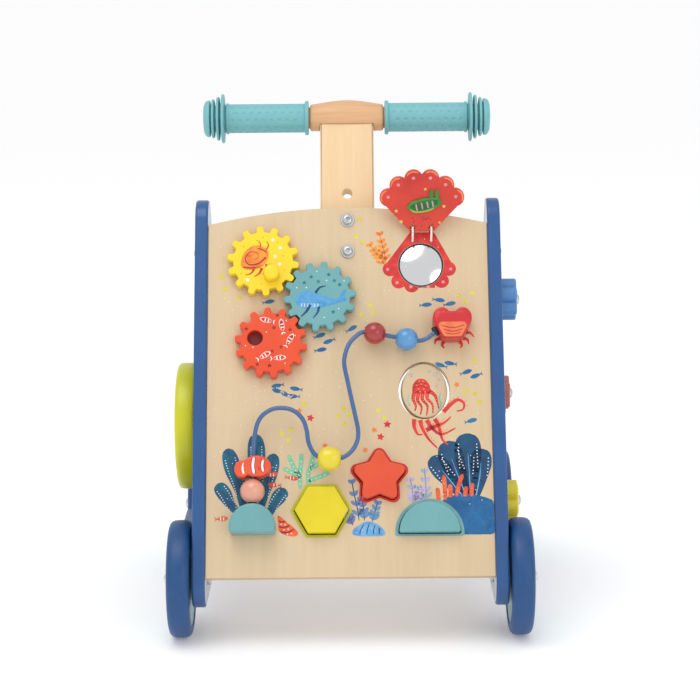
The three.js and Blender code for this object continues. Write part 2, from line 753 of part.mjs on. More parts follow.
// a rounded bead with a bore; squareness above 2 flattens its sides
function beadGeometry(radius, halfLength, squareness) {
  const steps = 7;
  const startAngle = Math.asin(beadBore / radius);
  const profile = [];
  for (let index = 0; index <= steps; index += 1) {
    const angle = startAngle + ((Math.PI - 2 * startAngle) * index) / steps;
    const out = Math.abs(Math.sin(angle)) ** (2 / squareness);
    const along = Math.sign(Math.cos(angle)) * Math.abs(Math.cos(angle)) ** (2 / squareness);
    profile.push([Math.max(beadBore, radius * out), -halfLength * along]);
  }
  profile[0][0] = beadBore;
  profile[steps][0] = beadBore;
  return ring(profile, 16);
}

function addBead(name, geometry, material, [x, y]) {
  const { point, direction } = wireAt(x, y);
  const bead = add(slope, name, geometry, material, point.toArray());
  bead.quaternion.setFromUnitVectors(new THREE.Vector3(0, 0, 1), direction);
}

// the pink bead lies on the dome, and the fish lies on the pink bead
const pinkBeadPlace = [domePlace[0], domePlace[1] + domeHeight + pinkBeadRadius + 0.7];

function addBeads() {
  addBead('bead_pink', beadGeometry(pinkBeadRadius, pinkBeadRadius, 2), pinkPaint, pinkBeadPlace);
  addBead('bead_yellow', beadGeometry(10.4, 10.8, 2.5), yellowPaint, yellowBeadPlace);
  addBead('bead_red', beadGeometry(10.1, 10.1, 2), redPaint, onBoard([23.6, 217.9]));
  addBead('bead_blue', beadGeometry(10.3, 10.3, 2.1), skyPaint, onBoard([52.2, 212.4]));
}

// wooden fish threaded on the wire: an oval body joined to a smaller oval tail
function addFishBead() {
  const half = fishHalfThickness;
  const body = plate(ellipseShape(12.8, fishHalfHeight, 3.6, 0), -half, half, 12);
  const tail = plate(ellipseShape(7, 7.6, -9.2, -2.4), -half, half, 9);
  const bore = rod(beadBore, -20, 20, 0, 0, 14).rotateX(Math.PI / 2);
  const fish = cut(join(body, tail), bore);
  const up = pinkBeadPlace[1] + pinkBeadRadius + fishHalfHeight + 0.8;
  add(slope, 'fish_bead', fish, orangePaint, wireAt(pinkBeadPlace[0], up).point.toArray());
}

// ---- blocks that hold the wire ----
function domeOutline() {
  const shape = new THREE.Shape();
  const straight = domeHeight - domeHalf;
  const corner = 3;
  shape.moveTo(-domeHalf + corner, 0);
  shape.lineTo(domeHalf - corner, 0);
  shape.quadraticCurveTo(domeHalf, 0, domeHalf, corner);
  shape.lineTo(domeHalf, straight);
  shape.absarc(0, straight, domeHalf, 0, Math.PI, false);
  shape.lineTo(-domeHalf, corner);
  shape.quadraticCurveTo(-domeHalf, 0, -domeHalf + corner, 0);
  return shape;
}

function addWireAnchors() {
  const start = wireRoute[0];
  const socketFloor = start[1] - domePlace[1] - 1.4;
  const socket = rod(wireRadius + gap, socketFloor, domeHeight + 1, 0, 0, 16).rotateX(-Math.PI / 2);
  socket.translate(0, 0, start[2]);
  const dome = cut(plate(domeOutline(), gap, anchorDepth, 16), socket);
  add(slope, 'wire_dome', dome, tealPaint, [...domePlace, 0]);

  const [x, y] = crabPlace;
  const bumps = [-1, 1].map((side) => (
    plate(ellipseShape(8.2, 9.5, side * 9.4, 5.3), gap, anchorDepth, 10)
  ));
  const belly = plate(roundedOutline([
    [-9, -14, 4], [9, -14, 4], [17, 2, 6], [12, 11, 3], [-12, 11, 3], [-17, 2, 6],
  ]), gap, anchorDepth, 4);
  const end = wireRoute[wireRoute.length - 1];
  const before = wireRoute[wireRoute.length - 3];
  const inward = new THREE.Vector3(...end).sub(new THREE.Vector3(...before)).normalize();
  const bore = rod(wireRadius + 1.2, -12, 2, 0, 0, 16);
  const turn = new THREE.Quaternion().setFromUnitVectors(new THREE.Vector3(0, 0, 1), inward);
  bore.applyQuaternion(turn).translate(end[0] - x, end[1] - y, end[2]);
  add(slope, 'crab_block', cut(join(belly, ...bumps), bore), redPaint, [x, y, 0]);
}

// ---- shape sorter ----
function addSorter() {
  const bottom = -boardThickness;
  const top = bottom + blockThickness;
  const blocks = [
    ['hexagon_block', hexagonOutline(hexagonRadius), limePaint, hexagonPlace, 2],
    ['star_block', starOutline(starRadius, starInnerRadius, starTipRounding), orangePaint, starPlace, 4],
    ['half_moon_block', moonOutline(moonRadius), tealPaint, moonPlace, 12],
  ];
  for (const [name, outline, material, place, segments] of blocks) {
    add(slope, name, plate(outline, bottom, top, segments), material, [...place, 0]);
  }
  const left = hexagonPlace[0] - hexagonRadius - backingMargin;
  const right = moonPlace[0] + moonRadius + backingMargin;
  const low = moonPlace[1] - backingMargin;
  const high = starPlace[1] + starRadius + backingMargin;
  const backing = roundedOutline([[left, low, 4], [right, low, 4], [right, high, 4], [left, high, 4]]);
  const front = -socketDepth;
  add(slope, 'sorter_backing', plate(backing, front - backingThickness, front, 3), birch);
}

// ---- pieces on the outer faces ----
// a plain bolt along local Z: head outside, nut inside the panel
function sideBoltGeometry(radius, thickness) {
  const inner = -panelThickness - gap;
  const outside = runningClearance + thickness + gap;
  return turned([
    [0, inner - 3], [radius + 2.4, inner - 3], [radius + 2.4, inner], [radius, inner],
    [radius, outside], [radius + 2.6, outside], [radius + 2, outside + 2], [0, outside + 3],
  ], 12);
}

function lobedOutline(lobes, radius, dip) {
  const points = Array.from({ length: lobes * 8 }, (_, index) => {
    const angle = (2 * Math.PI * index) / (lobes * 8);
    const reach = radius - dip * (1 - Math.abs(Math.cos((lobes * angle) / 2)));
    return new THREE.Vector2(reach * Math.cos(angle), reach * Math.sin(angle));
  });
  return new THREE.Shape(points);
}

function sideStation(side, [y, z]) {
  const station = new THREE.Group();
  station.position.set(side * panelOuter, frontAxle + y, z);
  station.rotation.y = (side * Math.PI) / 2;
  walker.add(station);
  return station;
}

function addDrum() {
  const bore = axleRadius + runningClearance;
  const inner = runningClearance;
  const outer = runningClearance + drumThickness;
  const drum = ring([
    [bore, inner], [drumRadius - 2.5, inner], [drumRadius, inner + 2.5], [drumRadius, outer - 5],
    [drumRadius - 1.5, outer - 1.6], [drumRadius - 5, outer], [bore, outer],
  ], 32);
  const station = sideStation(-1, drumPlace);
  add(station, 'side_drum', drum, limePaint);
  add(station, 'side_drum_bolt', sideBoltGeometry(axleRadius, drumThickness), steel);
}

function addCharms() {
  const styles = {
    blue: [lobedOutline(6, charmRadius, 5), skyPaint],
    pink: [starOutline(charmRadius + 3, 12, 5), pinkPaint],
    yellow: [lobedOutline(5, charmRadius, 6), yellowPaint],
  };
  for (const [name, place] of Object.entries(charmPlaces)) {
    const [outline, material] = styles[name];
    const station = sideStation(1, place);
    const blank = plate(outline, runningClearance, runningClearance + charmThickness, 4);
    const bore = rod(charmBoltRadius + runningClearance, -1, charmThickness + 2, 0, 0, 14);
    add(station, `side_charm_${name}`, cut(blank, bore), material);
    add(station, `side_charm_bolt_${name}`, sideBoltGeometry(charmBoltRadius, charmThickness), steel);
  }
}

function addRailsAndBrace() {
  const [start, end] = railSpan;
  for (const [name, side] of [['left_sill_rail', -1], ['right_sill_rail', 1]]) {
    const rail = box(railWidth, end - start, railHeight);
    const x = side * (panelOuter + gap + railWidth / 2);
    add(walker, name, rail, bluePaint, [x, frontAxle + (start + end) / 2, railTop - railHeight / 2]);
  }
  const brace = box(boardWidth, braceThickness, braceHeight);
  add(walker, 'lower_brace', brace, birch, [0, frontAxle + bracePlace[0], bracePlace[1]]);
}

addPanels();
addBoard();
addStem();
addCrossbar();
addGrips();
addWheels();
addGears();
addFlipDisc();
addMirror();
addShellFlap();
addWire();
addBeads();
addFishBead();
addWireAnchors();
addSorter();
addDrum();
addCharms();
addRailsAndBrace();

export default walker;
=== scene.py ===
import json
import math
import random

import bpy
from mathutils import Matrix, Vector


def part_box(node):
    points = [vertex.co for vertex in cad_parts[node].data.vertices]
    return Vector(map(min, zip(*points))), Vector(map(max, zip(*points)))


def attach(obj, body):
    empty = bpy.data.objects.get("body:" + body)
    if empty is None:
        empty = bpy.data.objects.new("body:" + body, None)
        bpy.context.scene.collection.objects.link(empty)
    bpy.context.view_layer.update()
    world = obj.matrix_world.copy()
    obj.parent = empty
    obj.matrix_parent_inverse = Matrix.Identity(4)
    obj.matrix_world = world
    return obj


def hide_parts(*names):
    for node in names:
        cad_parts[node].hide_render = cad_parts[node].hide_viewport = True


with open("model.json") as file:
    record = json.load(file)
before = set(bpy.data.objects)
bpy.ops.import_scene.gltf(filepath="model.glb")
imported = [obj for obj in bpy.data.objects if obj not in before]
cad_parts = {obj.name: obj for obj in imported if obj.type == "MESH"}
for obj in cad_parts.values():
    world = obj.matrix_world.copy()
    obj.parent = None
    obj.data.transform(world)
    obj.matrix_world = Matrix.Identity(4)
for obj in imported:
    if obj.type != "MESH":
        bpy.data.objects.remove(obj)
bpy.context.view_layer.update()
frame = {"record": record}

dice = random.Random(7)

# ---- frames: pieces are made in millimetres and put in place by one matrix ----
joints = {joint["name"]: joint for joint in frame["record"]["behaviour"]["joints"]}


def frame_of(x, y, z, origin):
    turn = Matrix((x, y, z)).transposed().to_4x4()
    return Matrix.Translation(origin) @ turn @ Matrix.Scale(0.001, 4)


def middle(node):
    low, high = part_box(node)
    return (low + high) / 2


OUT = Vector(joints["teal_gear_spin"]["axis"])
ACROSS = Vector((1, 0, 0))
UP = OUT.cross(ACROSS)
THICK = 12  # the board
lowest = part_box("activity_board")[0]
FOOT = Vector((0, lowest.y, lowest.z + THICK / 1000 * OUT.z))
board = frame_of(ACROSS, UP, OUT, FOOT)
TILT = math.atan2(UP.z, UP.y)


def on_board(point):
    """A point in metres as millimetres across the board, up it and out of it."""
    return board.inverted() @ Vector(point)


def board_at(across, up, out=0, turn=0):
    return board @ Matrix.Translation((across, up, out)) @ Matrix.Rotation(math.radians(turn), 4, "Z")


PANEL_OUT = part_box("right_side_panel")[1].x


def station(side, y, z):
    """Local Z points away from the side panel; the origin is on its outer face."""
    return frame_of((0, 0, -side), (0, 1, 0), (side, 0, 0), (side * PANEL_OUT, y, z))


def along(axis, origin):
    axis = Vector(axis).normalized()
    x = axis.orthogonal().normalized()
    return frame_of(x, axis.cross(x), axis, origin)


# ---- camera, light and floor ----
camera_data = bpy.data.cameras.new("view")
camera = bpy.data.objects.new("view", camera_data)
bpy.context.scene.collection.objects.link(camera)
aim = Matrix.Rotation(math.radians(78.7), 4, "X") @ Matrix.Rotation(math.radians(-0.5), 4, "Z")
camera.matrix_world = Matrix.Translation((0.0006, -1.845, 0.604)) @ aim
camera_data.lens, camera_data.sensor_width, camera_data.shift_x = 102.86, 36, 0.001
bpy.context.scene.camera = camera
bpy.context.scene.view_settings.view_transform = "Standard"

world = bpy.data.worlds.new("studio")
bpy.context.scene.world = world
world.use_nodes = True
world.node_tree.nodes["Background"].inputs["Color"].default_value = (1, 1, 1, 1)
world.node_tree.nodes["Background"].inputs["Strength"].default_value = 0.88


def soft_light(name, place, target, size, power):
    light = bpy.data.lights.new(name, "AREA")
    light.shape, light.size, light.energy = "DISK", size, power
    lamp = bpy.data.objects.new(name, light)
    bpy.context.scene.collection.objects.link(lamp)
    lamp.location = place
    lamp.rotation_euler = (Vector(target) - Vector(place)).to_track_quat("-Z", "Y").to_euler()


soft_light("top_light", (-0.5, -0.7, 2.3), (0, 0, 0.2), 1.6, 14)
soft_light("front_light", (1.3, -2.1, 1.1), (0, 0, 0.25), 1.2, 5)


# ---- finishes ----
def tone(red, green, blue):
    def linear(value):
        share = value / 255
        return share / 12.92 if share <= 0.04045 else ((share + 0.055) / 1.055) ** 2.4

    return (linear(red), linear(green), linear(blue), 1)


class Recipe:
    """A node tree with short ways to add nodes and join them."""

    def __init__(self, tree):
        self.tree = tree

    def node(self, kind, inputs=None, **settings):
        made = self.tree.nodes.new(kind)
        for name, value in settings.items():
            setattr(made, name, value)
        for name, value in (inputs or {}).items():
            if isinstance(value, bpy.types.NodeSocket):
                self.tree.links.new(value, made.inputs[name])
            else:
                made.inputs[name].default_value = value
        return made

    def noise(self, vector, scale, detail=2.0, roughness=0.5, distortion=0.0):
        values = {"Vector": vector, "Scale": scale, "Detail": detail, "Roughness": roughness, "Distortion": distortion}
        return self.node("ShaderNodeTexNoise", values).outputs["Fac"]

    def spread(self, value, low, high, to_low, to_high):
        values = {"Value": value, "From Min": low, "From Max": high, "To Min": to_low, "To Max": to_high}
        return self.node("ShaderNodeMapRange", values).outputs["Result"]

    def blend(self, share, first, second):
        made = self.node("ShaderNodeMix", data_type="RGBA")
        for index, value in ((0, share), (6, first), (7, second)):
            if isinstance(value, bpy.types.NodeSocket):
                self.tree.links.new(value, made.inputs[index])
            else:
                made.inputs[index].default_value = value
        return made.outputs[2]

    def sums(self, operation, first, second):
        made = self.node("ShaderNodeMath", operation=operation)
        for index, value in ((0, first), (1, second)):
            if isinstance(value, bpy.types.NodeSocket):
                self.tree.links.new(value, made.inputs[index])
            else:
                made.inputs[index].default_value = value
        return made.outputs[0]


def effect(name, sockets):
    """A node group with these inputs, and Color, Roughness and Height as its outputs."""
    group = bpy.data.node_groups.new(name, "ShaderNodeTree")
    for label, kind in sockets.items():
        group.interface.new_socket(name=label, in_out="INPUT", socket_type=f"NodeSocket{kind}")
    for label, kind in (("Color", "Color"), ("Roughness", "Float"), ("Height", "Float")):
        group.interface.new_socket(name=label, in_out="OUTPUT", socket_type=f"NodeSocket{kind}")
    recipe = Recipe(group)
    given = recipe.node("NodeGroupInput").outputs
    result = recipe.node("NodeGroupOutput")
    return group, recipe, given, result


def deliver(recipe, result, colour, roughness, height):
    for label, value in (("Color", colour), ("Roughness", roughness), ("Height", height)):
        recipe.tree.links.new(value, result.inputs[label])


def make_paint_film():
    sockets = {"Vector": "Vector", "Paint": "Color", "Shade": "Color", "Unevenness": "Float", "Base Roughness": "Float"}
    group, recipe, given, result = effect("paint_film", sockets)
    broad = recipe.noise(given["Vector"], 24, 3, 0.55)
    speckle = recipe.noise(given["Vector"], 420, 2, 0.6)
    cloud = recipe.spread(broad, 0.38, 0.66, 0, 1)
    share = recipe.sums("MULTIPLY", cloud, given["Unevenness"])
    grain = recipe.spread(speckle, 0.3, 0.7, -0.04, 0.06)
    colour = recipe.blend(recipe.sums("ADD", share, grain), given["Paint"], given["Shade"])
    roughness = recipe.sums("ADD", given["Base Roughness"], recipe.spread(broad, 0.3, 0.7, -0.05, 0.07))
    peel = recipe.noise(given["Vector"], 700, 1, 0.4)
    deliver(recipe, result, colour, roughness, peel)
    return group


def make_wood_figure():
    sockets = {"Vector": "Vector", "Pale": "Color", "Dark": "Color", "Figure": "Float", "Base Roughness": "Float"}
    group, recipe, given, result = effect("wood_figure", sockets)
    bands = recipe.noise(given["Vector"], 0.32, 3, 0.55, 0.5)
    rings = recipe.node("ShaderNodeTexWave", {
        "Vector": given["Vector"], "Scale": 0.55, "Distortion": 5.0, "Detail": 2.5, "Detail Scale": 0.7,
    }, wave_type="BANDS", bands_direction="X", wave_profile="SIN").outputs["Fac"]
    fibres = recipe.noise(given["Vector"], 3.2, 5, 0.65, 0.2)
    pores = recipe.spread(recipe.noise(given["Vector"], 9.0, 2, 0.5), 0.62, 0.74, 0, 1)
    figure = recipe.sums("ADD", recipe.spread(bands, 0.35, 0.7, 0, 0.5), recipe.sums("MULTIPLY", rings, 0.08))
    figure = recipe.sums("ADD", figure, recipe.spread(fibres, 0.35, 0.7, 0, 0.3))
    figure = recipe.sums("ADD", figure, recipe.sums("MULTIPLY", pores, 0.12))
    colour = recipe.blend(recipe.sums("MULTIPLY", figure, given["Figure"]), given["Pale"], given["Dark"])
    roughness = recipe.sums("ADD", given["Base Roughness"], recipe.spread(fibres, 0.3, 0.7, -0.04, 0.08))
    deliver(recipe, result, colour, roughness, recipe.sums("SUBTRACT", fibres, recipe.sums("MULTIPLY", pores, 0.5)))
    return group


def make_ink_film():
    sockets = {"Vector": "Vector", "First": "Color", "Second": "Color", "Base Roughness": "Float"}
    group, recipe, given, result = effect("ink_film", sockets)
    wash = recipe.noise(given["Vector"], 75, 4, 0.6, 0.8)
    stipple = recipe.noise(given["Vector"], 900, 2, 0.6)
    share = recipe.sums("ADD", recipe.spread(wash, 0.36, 0.64, 0, 1), recipe.spread(stipple, 0.35, 0.65, -0.18, 0.18))
    colour = recipe.blend(share, given["First"], given["Second"])
    roughness = recipe.sums("ADD", given["Base Roughness"], recipe.spread(wash, 0.3, 0.7, -0.04, 0.06))
    deliver(recipe, result, colour, roughness, stipple)
    return group


def make_rubber_skin():
    sockets = {"Vector": "Vector", "Rubber": "Color", "Bloom": "Color", "Base Roughness": "Float"}
    group, recipe, given, result = effect("rubber_skin", sockets)
    bloom = recipe.noise(given["Vector"], 38, 4, 0.6, 0.3)
    dust = recipe.spread(recipe.noise(given["Vector"], 520, 2, 0.6), 0.55, 0.75, 0, 0.3)
    share = recipe.sums("ADD", recipe.spread(bloom, 0.4, 0.75, 0, 0.35), dust)
    colour = recipe.blend(share, given["Rubber"], given["Bloom"])
    roughness = recipe.sums("ADD", given["Base Roughness"], recipe.spread(bloom, 0.3, 0.7, -0.06, 0.08))
    deliver(recipe, result, colour, roughness, recipe.noise(given["Vector"], 1400, 2, 0.7))
    return group


def make_metal_brush():
    sockets = {"Vector": "Vector", "Bright": "Color", "Dull": "Color", "Base Roughness": "Float"}
    group, recipe, given, result = effect("metal_brush", sockets)
    strokes = recipe.noise(given["Vector"], 1.0, 4, 0.7)
    stains = recipe.noise(given["Vector"], 0.15, 3, 0.6)
    colour = recipe.blend(recipe.spread(stains, 0.4, 0.75, 0, 0.6), given["Bright"], given["Dull"])
    roughness = recipe.sums("ADD", given["Base Roughness"], recipe.spread(strokes, 0.3, 0.7, -0.05, 0.1))
    deliver(recipe, result, colour, roughness, strokes)
    return group


paint_film = make_paint_film()
wood_figure = make_wood_figure()
ink_film = make_ink_film()
rubber_skin = make_rubber_skin()
metal_brush = make_metal_brush()


def finish(name, group, values, bump, depth, size=(1, 1, 1), turn=(0, 0, 0), **surface):
    """A material: a group over the piece's own coordinates feeds one shader and its bump."""
    material = bpy.data.materials.new(name)
    material.use_nodes = True
    recipe = Recipe(material.node_tree)
    shader = material.node_tree.nodes["Principled BSDF"]
    place = recipe.node("ShaderNodeTexCoord").outputs["Object"]
    if size != (1, 1, 1) or turn != (0, 0, 0):
        mapping = recipe.node("ShaderNodeMapping", {"Vector": place, "Rotation": turn, "Scale": size}, vector_type="TEXTURE")
        place = mapping.outputs["Vector"]
    effect_node = recipe.node("ShaderNodeGroup", node_tree=group)
    recipe.tree.links.new(place, effect_node.inputs["Vector"])
    for label, value in values.items():
        effect_node.inputs[label].default_value = value
    recipe.tree.links.new(effect_node.outputs["Color"], shader.inputs["Base Color"])
    recipe.tree.links.new(effect_node.outputs["Roughness"], shader.inputs["Roughness"])
    relief = recipe.node("ShaderNodeBump", {
        "Height": effect_node.outputs["Height"], "Strength": bump, "Distance": depth,
    })
    recipe.tree.links.new(relief.outputs["Normal"], shader.inputs["Normal"])
    for label, value in surface.items():
        shader.inputs[label.replace("_", " ").title()].default_value = value
    return material


def paint(name, colour, shade, roughness=0.34, unevenness=0.5, coat=0.15):
    values = {"Paint": tone(*colour), "Shade": tone(*shade), "Unevenness": unevenness, "Base Roughness": roughness}
    return finish(name, paint_film, values, 0.12, 0.0002, coat_weight=coat, coat_roughness=0.2)


def wood(name, pale, dark, size, turn=(0, 0, 0), figure=0.8, roughness=0.42):
    values = {"Pale": tone(*pale), "Dark": tone(*dark), "Figure": figure, "Base Roughness": roughness}
    return finish(name, wood_figure, values, 0.25, 0.0002, size, turn, coat_weight=0.12, coat_roughness=0.3)


def ink(name, first, second, roughness=0.45):
    values = {"First": tone(*first), "Second": tone(*second), "Base Roughness": roughness}
    return finish(name, ink_film, values, 0.08, 0.0001)


def rubber(name, colour, bloom, roughness):
    values = {"Rubber": tone(*colour), "Bloom": tone(*bloom), "Base Roughness": roughness}
    return finish(name, rubber_skin, values, 0.15, 0.0001)


def metal(name, bright, dull, size, roughness, bump=0.1):
    values = {"Bright": tone(*bright), "Dull": tone(*dull), "Base Roughness": roughness}
    return finish(name, metal_brush, values, bump, 0.0001, size, metallic=1.0)


SLOPE = (TILT, 0, 0)
looks = {
    "blue_paint": paint("blue_paint", (30, 82, 140), (22, 68, 124)),
    # pale grey for the panels' inner faces: painted reflection, the blue paint's sheen of the white studio seen at a
    # grazing angle
    "inner_sheen_grey": paint("inner_sheen_grey", (196, 204, 214), (184, 192, 204)),
    "birch": wood("birch", (216, 193, 158), (190, 158, 116), (0.016, 0.2, 0.02), SLOPE, 0.45),
    "ply_edge": wood("ply_edge", (222, 194, 150), (150, 108, 66), (0.3, 0.3, 0.0016), SLOPE, 0.8),
    "stem_wood": wood("stem_wood", (236, 206, 162), (208, 166, 116), (0.01, 0.16, 0.012), SLOPE, 0.45),
    "beech": wood("beech", (230, 186, 140), (186, 132, 84), (0.12, 0.008, 0.008), (0, 0, 0), 0.8),
    "teal_rubber": rubber("teal_rubber", (112, 178, 184), (132, 192, 197), 0.5),
    "blue_rubber": rubber("blue_rubber", (15, 68, 123), (34, 90, 144), 0.42),
    "teal_paint": paint("teal_paint", (109, 167, 170), (92, 152, 157)),
    "hub_paint": paint("hub_paint", (116, 169, 168), (98, 153, 157)),
    "yellow_paint": paint("yellow_paint", (247, 213, 30), (238, 200, 22)),
    "orange_paint": paint("orange_paint", (229, 76, 30), (214, 58, 26)),
    "star_paint": paint("star_paint", (226, 83, 42), (210, 58, 30), 0.3),
    "red_paint": paint("red_paint", (208, 40, 44), (178, 20, 36), 0.3, 0.7),
    "flap_red": paint("flap_red", (214, 54, 30), (190, 34, 22), 0.36, 0.9),
    "hexagon_paint": paint("hexagon_paint", (226, 207, 12), (210, 190, 8), 0.3),
    "lime_paint": paint("lime_paint", (204, 202, 18), (190, 188, 12)),
    "pink_gloss": paint("pink_gloss", (226, 163, 138), (212, 140, 118), 0.16, 0.6, 0.6),
    "yellow_gloss": paint("yellow_gloss", (233, 213, 40), (218, 196, 28), 0.16, 0.6, 0.6),
    "red_gloss": paint("red_gloss", (171, 43, 40), (146, 28, 32), 0.14, 0.6, 0.7),
    "blue_gloss": paint("blue_gloss", (86, 152, 203), (66, 130, 188), 0.14, 0.6, 0.7),
    "charm_pink": paint("charm_pink", (200, 122, 106), (184, 104, 92)),
    "charm_yellow": paint("charm_yellow", (240, 222, 52), (224, 204, 40)),
    "charm_blue": paint("charm_blue", (86, 142, 198), (70, 124, 184)),
    "fish_paint": paint("fish_paint", (236, 92, 54), (214, 64, 40), 0.3, 0.8),
    "wire_coat": paint("wire_coat", (56, 98, 150), (44, 84, 136), 0.22, 0.5, 0.5),
    "zinc": metal("zinc", (205, 208, 212), (150, 154, 160), (0.0006, 0.0006, 0.004), 0.26),
    "chrome": metal("chrome", (214, 217, 222), (178, 182, 190), (0.004, 0.004, 0.004), 0.14, 0.04),
    "mirror": metal("mirror", (222, 223, 225), (202, 204, 207), (0.12, 0.12, 0.12), 0.06, 0.0),
    "dark_steel": metal("dark_steel", (70, 72, 78), (40, 42, 46), (0.002, 0.002, 0.002), 0.35),
    "black_rubber": rubber("black_rubber", (24, 24, 28), (44, 44, 50), 0.5),
    "felt": paint("felt", (70, 150, 60), (30, 112, 50), 0.85, 0.9, 0.0),
    "white_cord": rubber("white_cord", (238, 236, 230), (214, 210, 202), 0.8),
    # dark red for the floor of the orange gear's finger hole: painted shade of the recess
    "hole_shade_red": paint("hole_shade_red", (126, 16, 14), (92, 8, 10), 0.6),
    "belly": ink("belly", (238, 130, 78), (222, 100, 60)),
    "floor": finish("floor", rubber_skin, {
        "Rubber": (0.93, 0.93, 0.94, 1), "Bloom": (0.95, 0.95, 0.96, 1), "Base Roughness": 0.75,
    }, 0.02, 0.0001, emission_color=(1, 1, 1, 1), emission_strength=0.15),
}


# ---- making pieces by hand ----
def clear_selection():
    bpy.ops.object.select_all(action="DESELECT")


def activate(piece):
    clear_selection()
    piece.select_set(True)
    bpy.context.view_layer.objects.active = piece


def modify(piece, kind, **settings):
    activate(piece)
    modifier = piece.modifiers.new("work", kind)
    for name, value in settings.items():
        setattr(modifier, name, value)
    bpy.ops.object.modifier_apply(modifier=modifier.name)


def heal(piece, gap=0.001):
    """Merges doubles and turns every face outwards."""
    activate(piece)
    bpy.ops.object.mode_set(mode="EDIT")
    bpy.ops.mesh.select_all(action="SELECT")
    bpy.ops.mesh.remove_doubles(threshold=gap)
    bpy.ops.mesh.dissolve_degenerate(threshold=gap / 10)
    bpy.ops.mesh.normals_make_consistent(inside=False)
    bpy.ops.mesh.select_all(action="DESELECT")
    bpy.ops.object.mode_set(mode="OBJECT")


def smooth(piece, angle=38, weighted=False):
    activate(piece)
    bpy.ops.object.shade_smooth_by_angle(angle=math.radians(angle))
    if weighted:
        modify(piece, "WEIGHTED_NORMAL", keep_sharp=True)


def settle(piece):
    activate(piece)
    bpy.ops.object.transform_apply(location=True, rotation=True, scale=True)


def cut_out(name, outlines, low, high, edge=0.0, steps=3):
    """A flat piece cut to closed outlines, the later ones inside the first, with rounded edges."""
    curve = bpy.data.curves.new(name, "CURVE")
    curve.dimensions, curve.fill_mode = "2D", "BOTH"
    for outline in outlines:
        spline = curve.splines.new("POLY")
        spline.points.add(len(outline) - 1)
        for point, place in zip(spline.points, outline):
            point.co = (place[0], place[1], 0, 1)
        spline.use_cyclic_u = True
    curve.extrude = (high - low) / 2 - edge
    curve.bevel_depth, curve.bevel_resolution, curve.offset = edge, steps, -edge
    piece = bpy.data.objects.new(name, curve)
    bpy.context.scene.collection.objects.link(piece)
    activate(piece)
    bpy.ops.object.convert(target="MESH")
    piece = bpy.context.view_layer.objects.active
    piece.name = name
    piece.location = (0, 0, (low + high) / 2)
    settle(piece)
    heal(piece)
    smooth(piece, weighted=edge > 0)
    return piece


def turned(name, profile, steps=64, closed=False):
    """A piece turned about local Z from a profile of (radius, height)."""
    curve = bpy.data.curves.new(name, "CURVE")
    curve.dimensions = "3D"
    spline = curve.splines.new("POLY")
    spline.points.add(len(profile) - 1)
    for point, (radius, height) in zip(spline.points, profile):
        point.co = (radius, 0, height, 1)
    spline.use_cyclic_u = closed
    piece = bpy.data.objects.new(name, curve)
    bpy.context.scene.collection.objects.link(piece)
    activate(piece)
    bpy.ops.object.convert(target="MESH")
    piece = bpy.context.view_layer.objects.active
    piece.name = name
    bpy.ops.object.mode_set(mode="EDIT")
    bpy.ops.mesh.select_all(action="SELECT")
    bpy.ops.mesh.spin(steps=steps, angle=2 * math.pi, center=(0, 0, 0), axis=(0, 0, 1))
    bpy.ops.object.mode_set(mode="OBJECT")
    heal(piece)
    smooth(piece)
    return piece


def soft_block(name, size, place, edge=1.5):
    """A cube primitive at its size and place, its edges bevelled by hand."""
    clear_selection()
    bpy.ops.mesh.primitive_cube_add(size=1, location=place)
    piece = bpy.context.object
    piece.name, piece.scale = name, size
    settle(piece)
    bpy.ops.object.mode_set(mode="EDIT")
    bpy.ops.mesh.select_all(action="SELECT")
    bpy.ops.mesh.bevel(offset=edge, segments=4, profile=0.5)
    bpy.ops.object.mode_set(mode="OBJECT")
    smooth(piece, weighted=True)
    return piece


def tube(name, paths, radius, resolution=6, cyclic=False, kind="POLY", sections=4):
    """Round cords or rods along lists of points."""
    curve = bpy.data.curves.new(name, "CURVE")
    curve.dimensions, curve.bevel_depth, curve.bevel_resolution = "3D", radius, sections
    curve.resolution_u, curve.use_fill_caps = resolution, not cyclic
    for path in paths:
        if kind == "BEZIER":
            spline = curve.splines.new("BEZIER")
            spline.bezier_points.add(len(path) - 1)
            for point, place in zip(spline.bezier_points, path):
                point.co = place
                point.handle_left_type = point.handle_right_type = "AUTO"
        else:
            spline = curve.splines.new("POLY")
            spline.points.add(len(path) - 1)
            for point, place in zip(spline.points, path):
                point.co = (*place, 1)
        spline.use_cyclic_u = cyclic
    piece = bpy.data.objects.new(name, curve)
    bpy.context.scene.collection.objects.link(piece)
    activate(piece)
    bpy.ops.object.convert(target="MESH")
    piece = bpy.context.view_layer.objects.active
    piece.name = name
    heal(piece)
    smooth(piece, 60)
    return piece


def joined(name, pieces):
    clear_selection()
    for piece in pieces:
        piece.select_set(True)
    bpy.context.view_layer.objects.active = pieces[0]
    bpy.ops.object.join()
    pieces[0].name = name
    return pieces[0]


def carve(piece, cutter):
    modify(piece, "BOOLEAN", operation="DIFFERENCE", object=cutter, solver="EXACT")
    bpy.data.objects.remove(cutter)


def fit(piece, place, look, body, slot, *nodes):
    """Puts a piece made in millimetres in its place, and gives it its finish and body; its slot argument is not used.
    """
    piece.matrix_world = place
    settle(piece)
    if look:
        piece.data.materials.clear()
        piece.data.materials.append(looks[look])
    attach(piece, body)
    if nodes:
        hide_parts(*nodes)
    return piece


# ---- outlines ----
def circle(radius, x=0, y=0, sides=48, stretch=1.0):
    angles = [2 * math.pi * index / sides for index in range(sides)]
    return [(x + radius * math.cos(a), y + radius * stretch * math.sin(a)) for a in angles]


def ellipse(half_width, half_height, x=0, y=0, sides=64, turn=0):
    c, s = math.cos(math.radians(turn)), math.sin(math.radians(turn))
    points = []
    for index in range(sides):
        angle = 2 * math.pi * index / sides
        px, py = half_width * math.cos(angle), half_height * math.sin(angle)
        points.append((x + px * c - py * s, y + px * s + py * c))
    return points


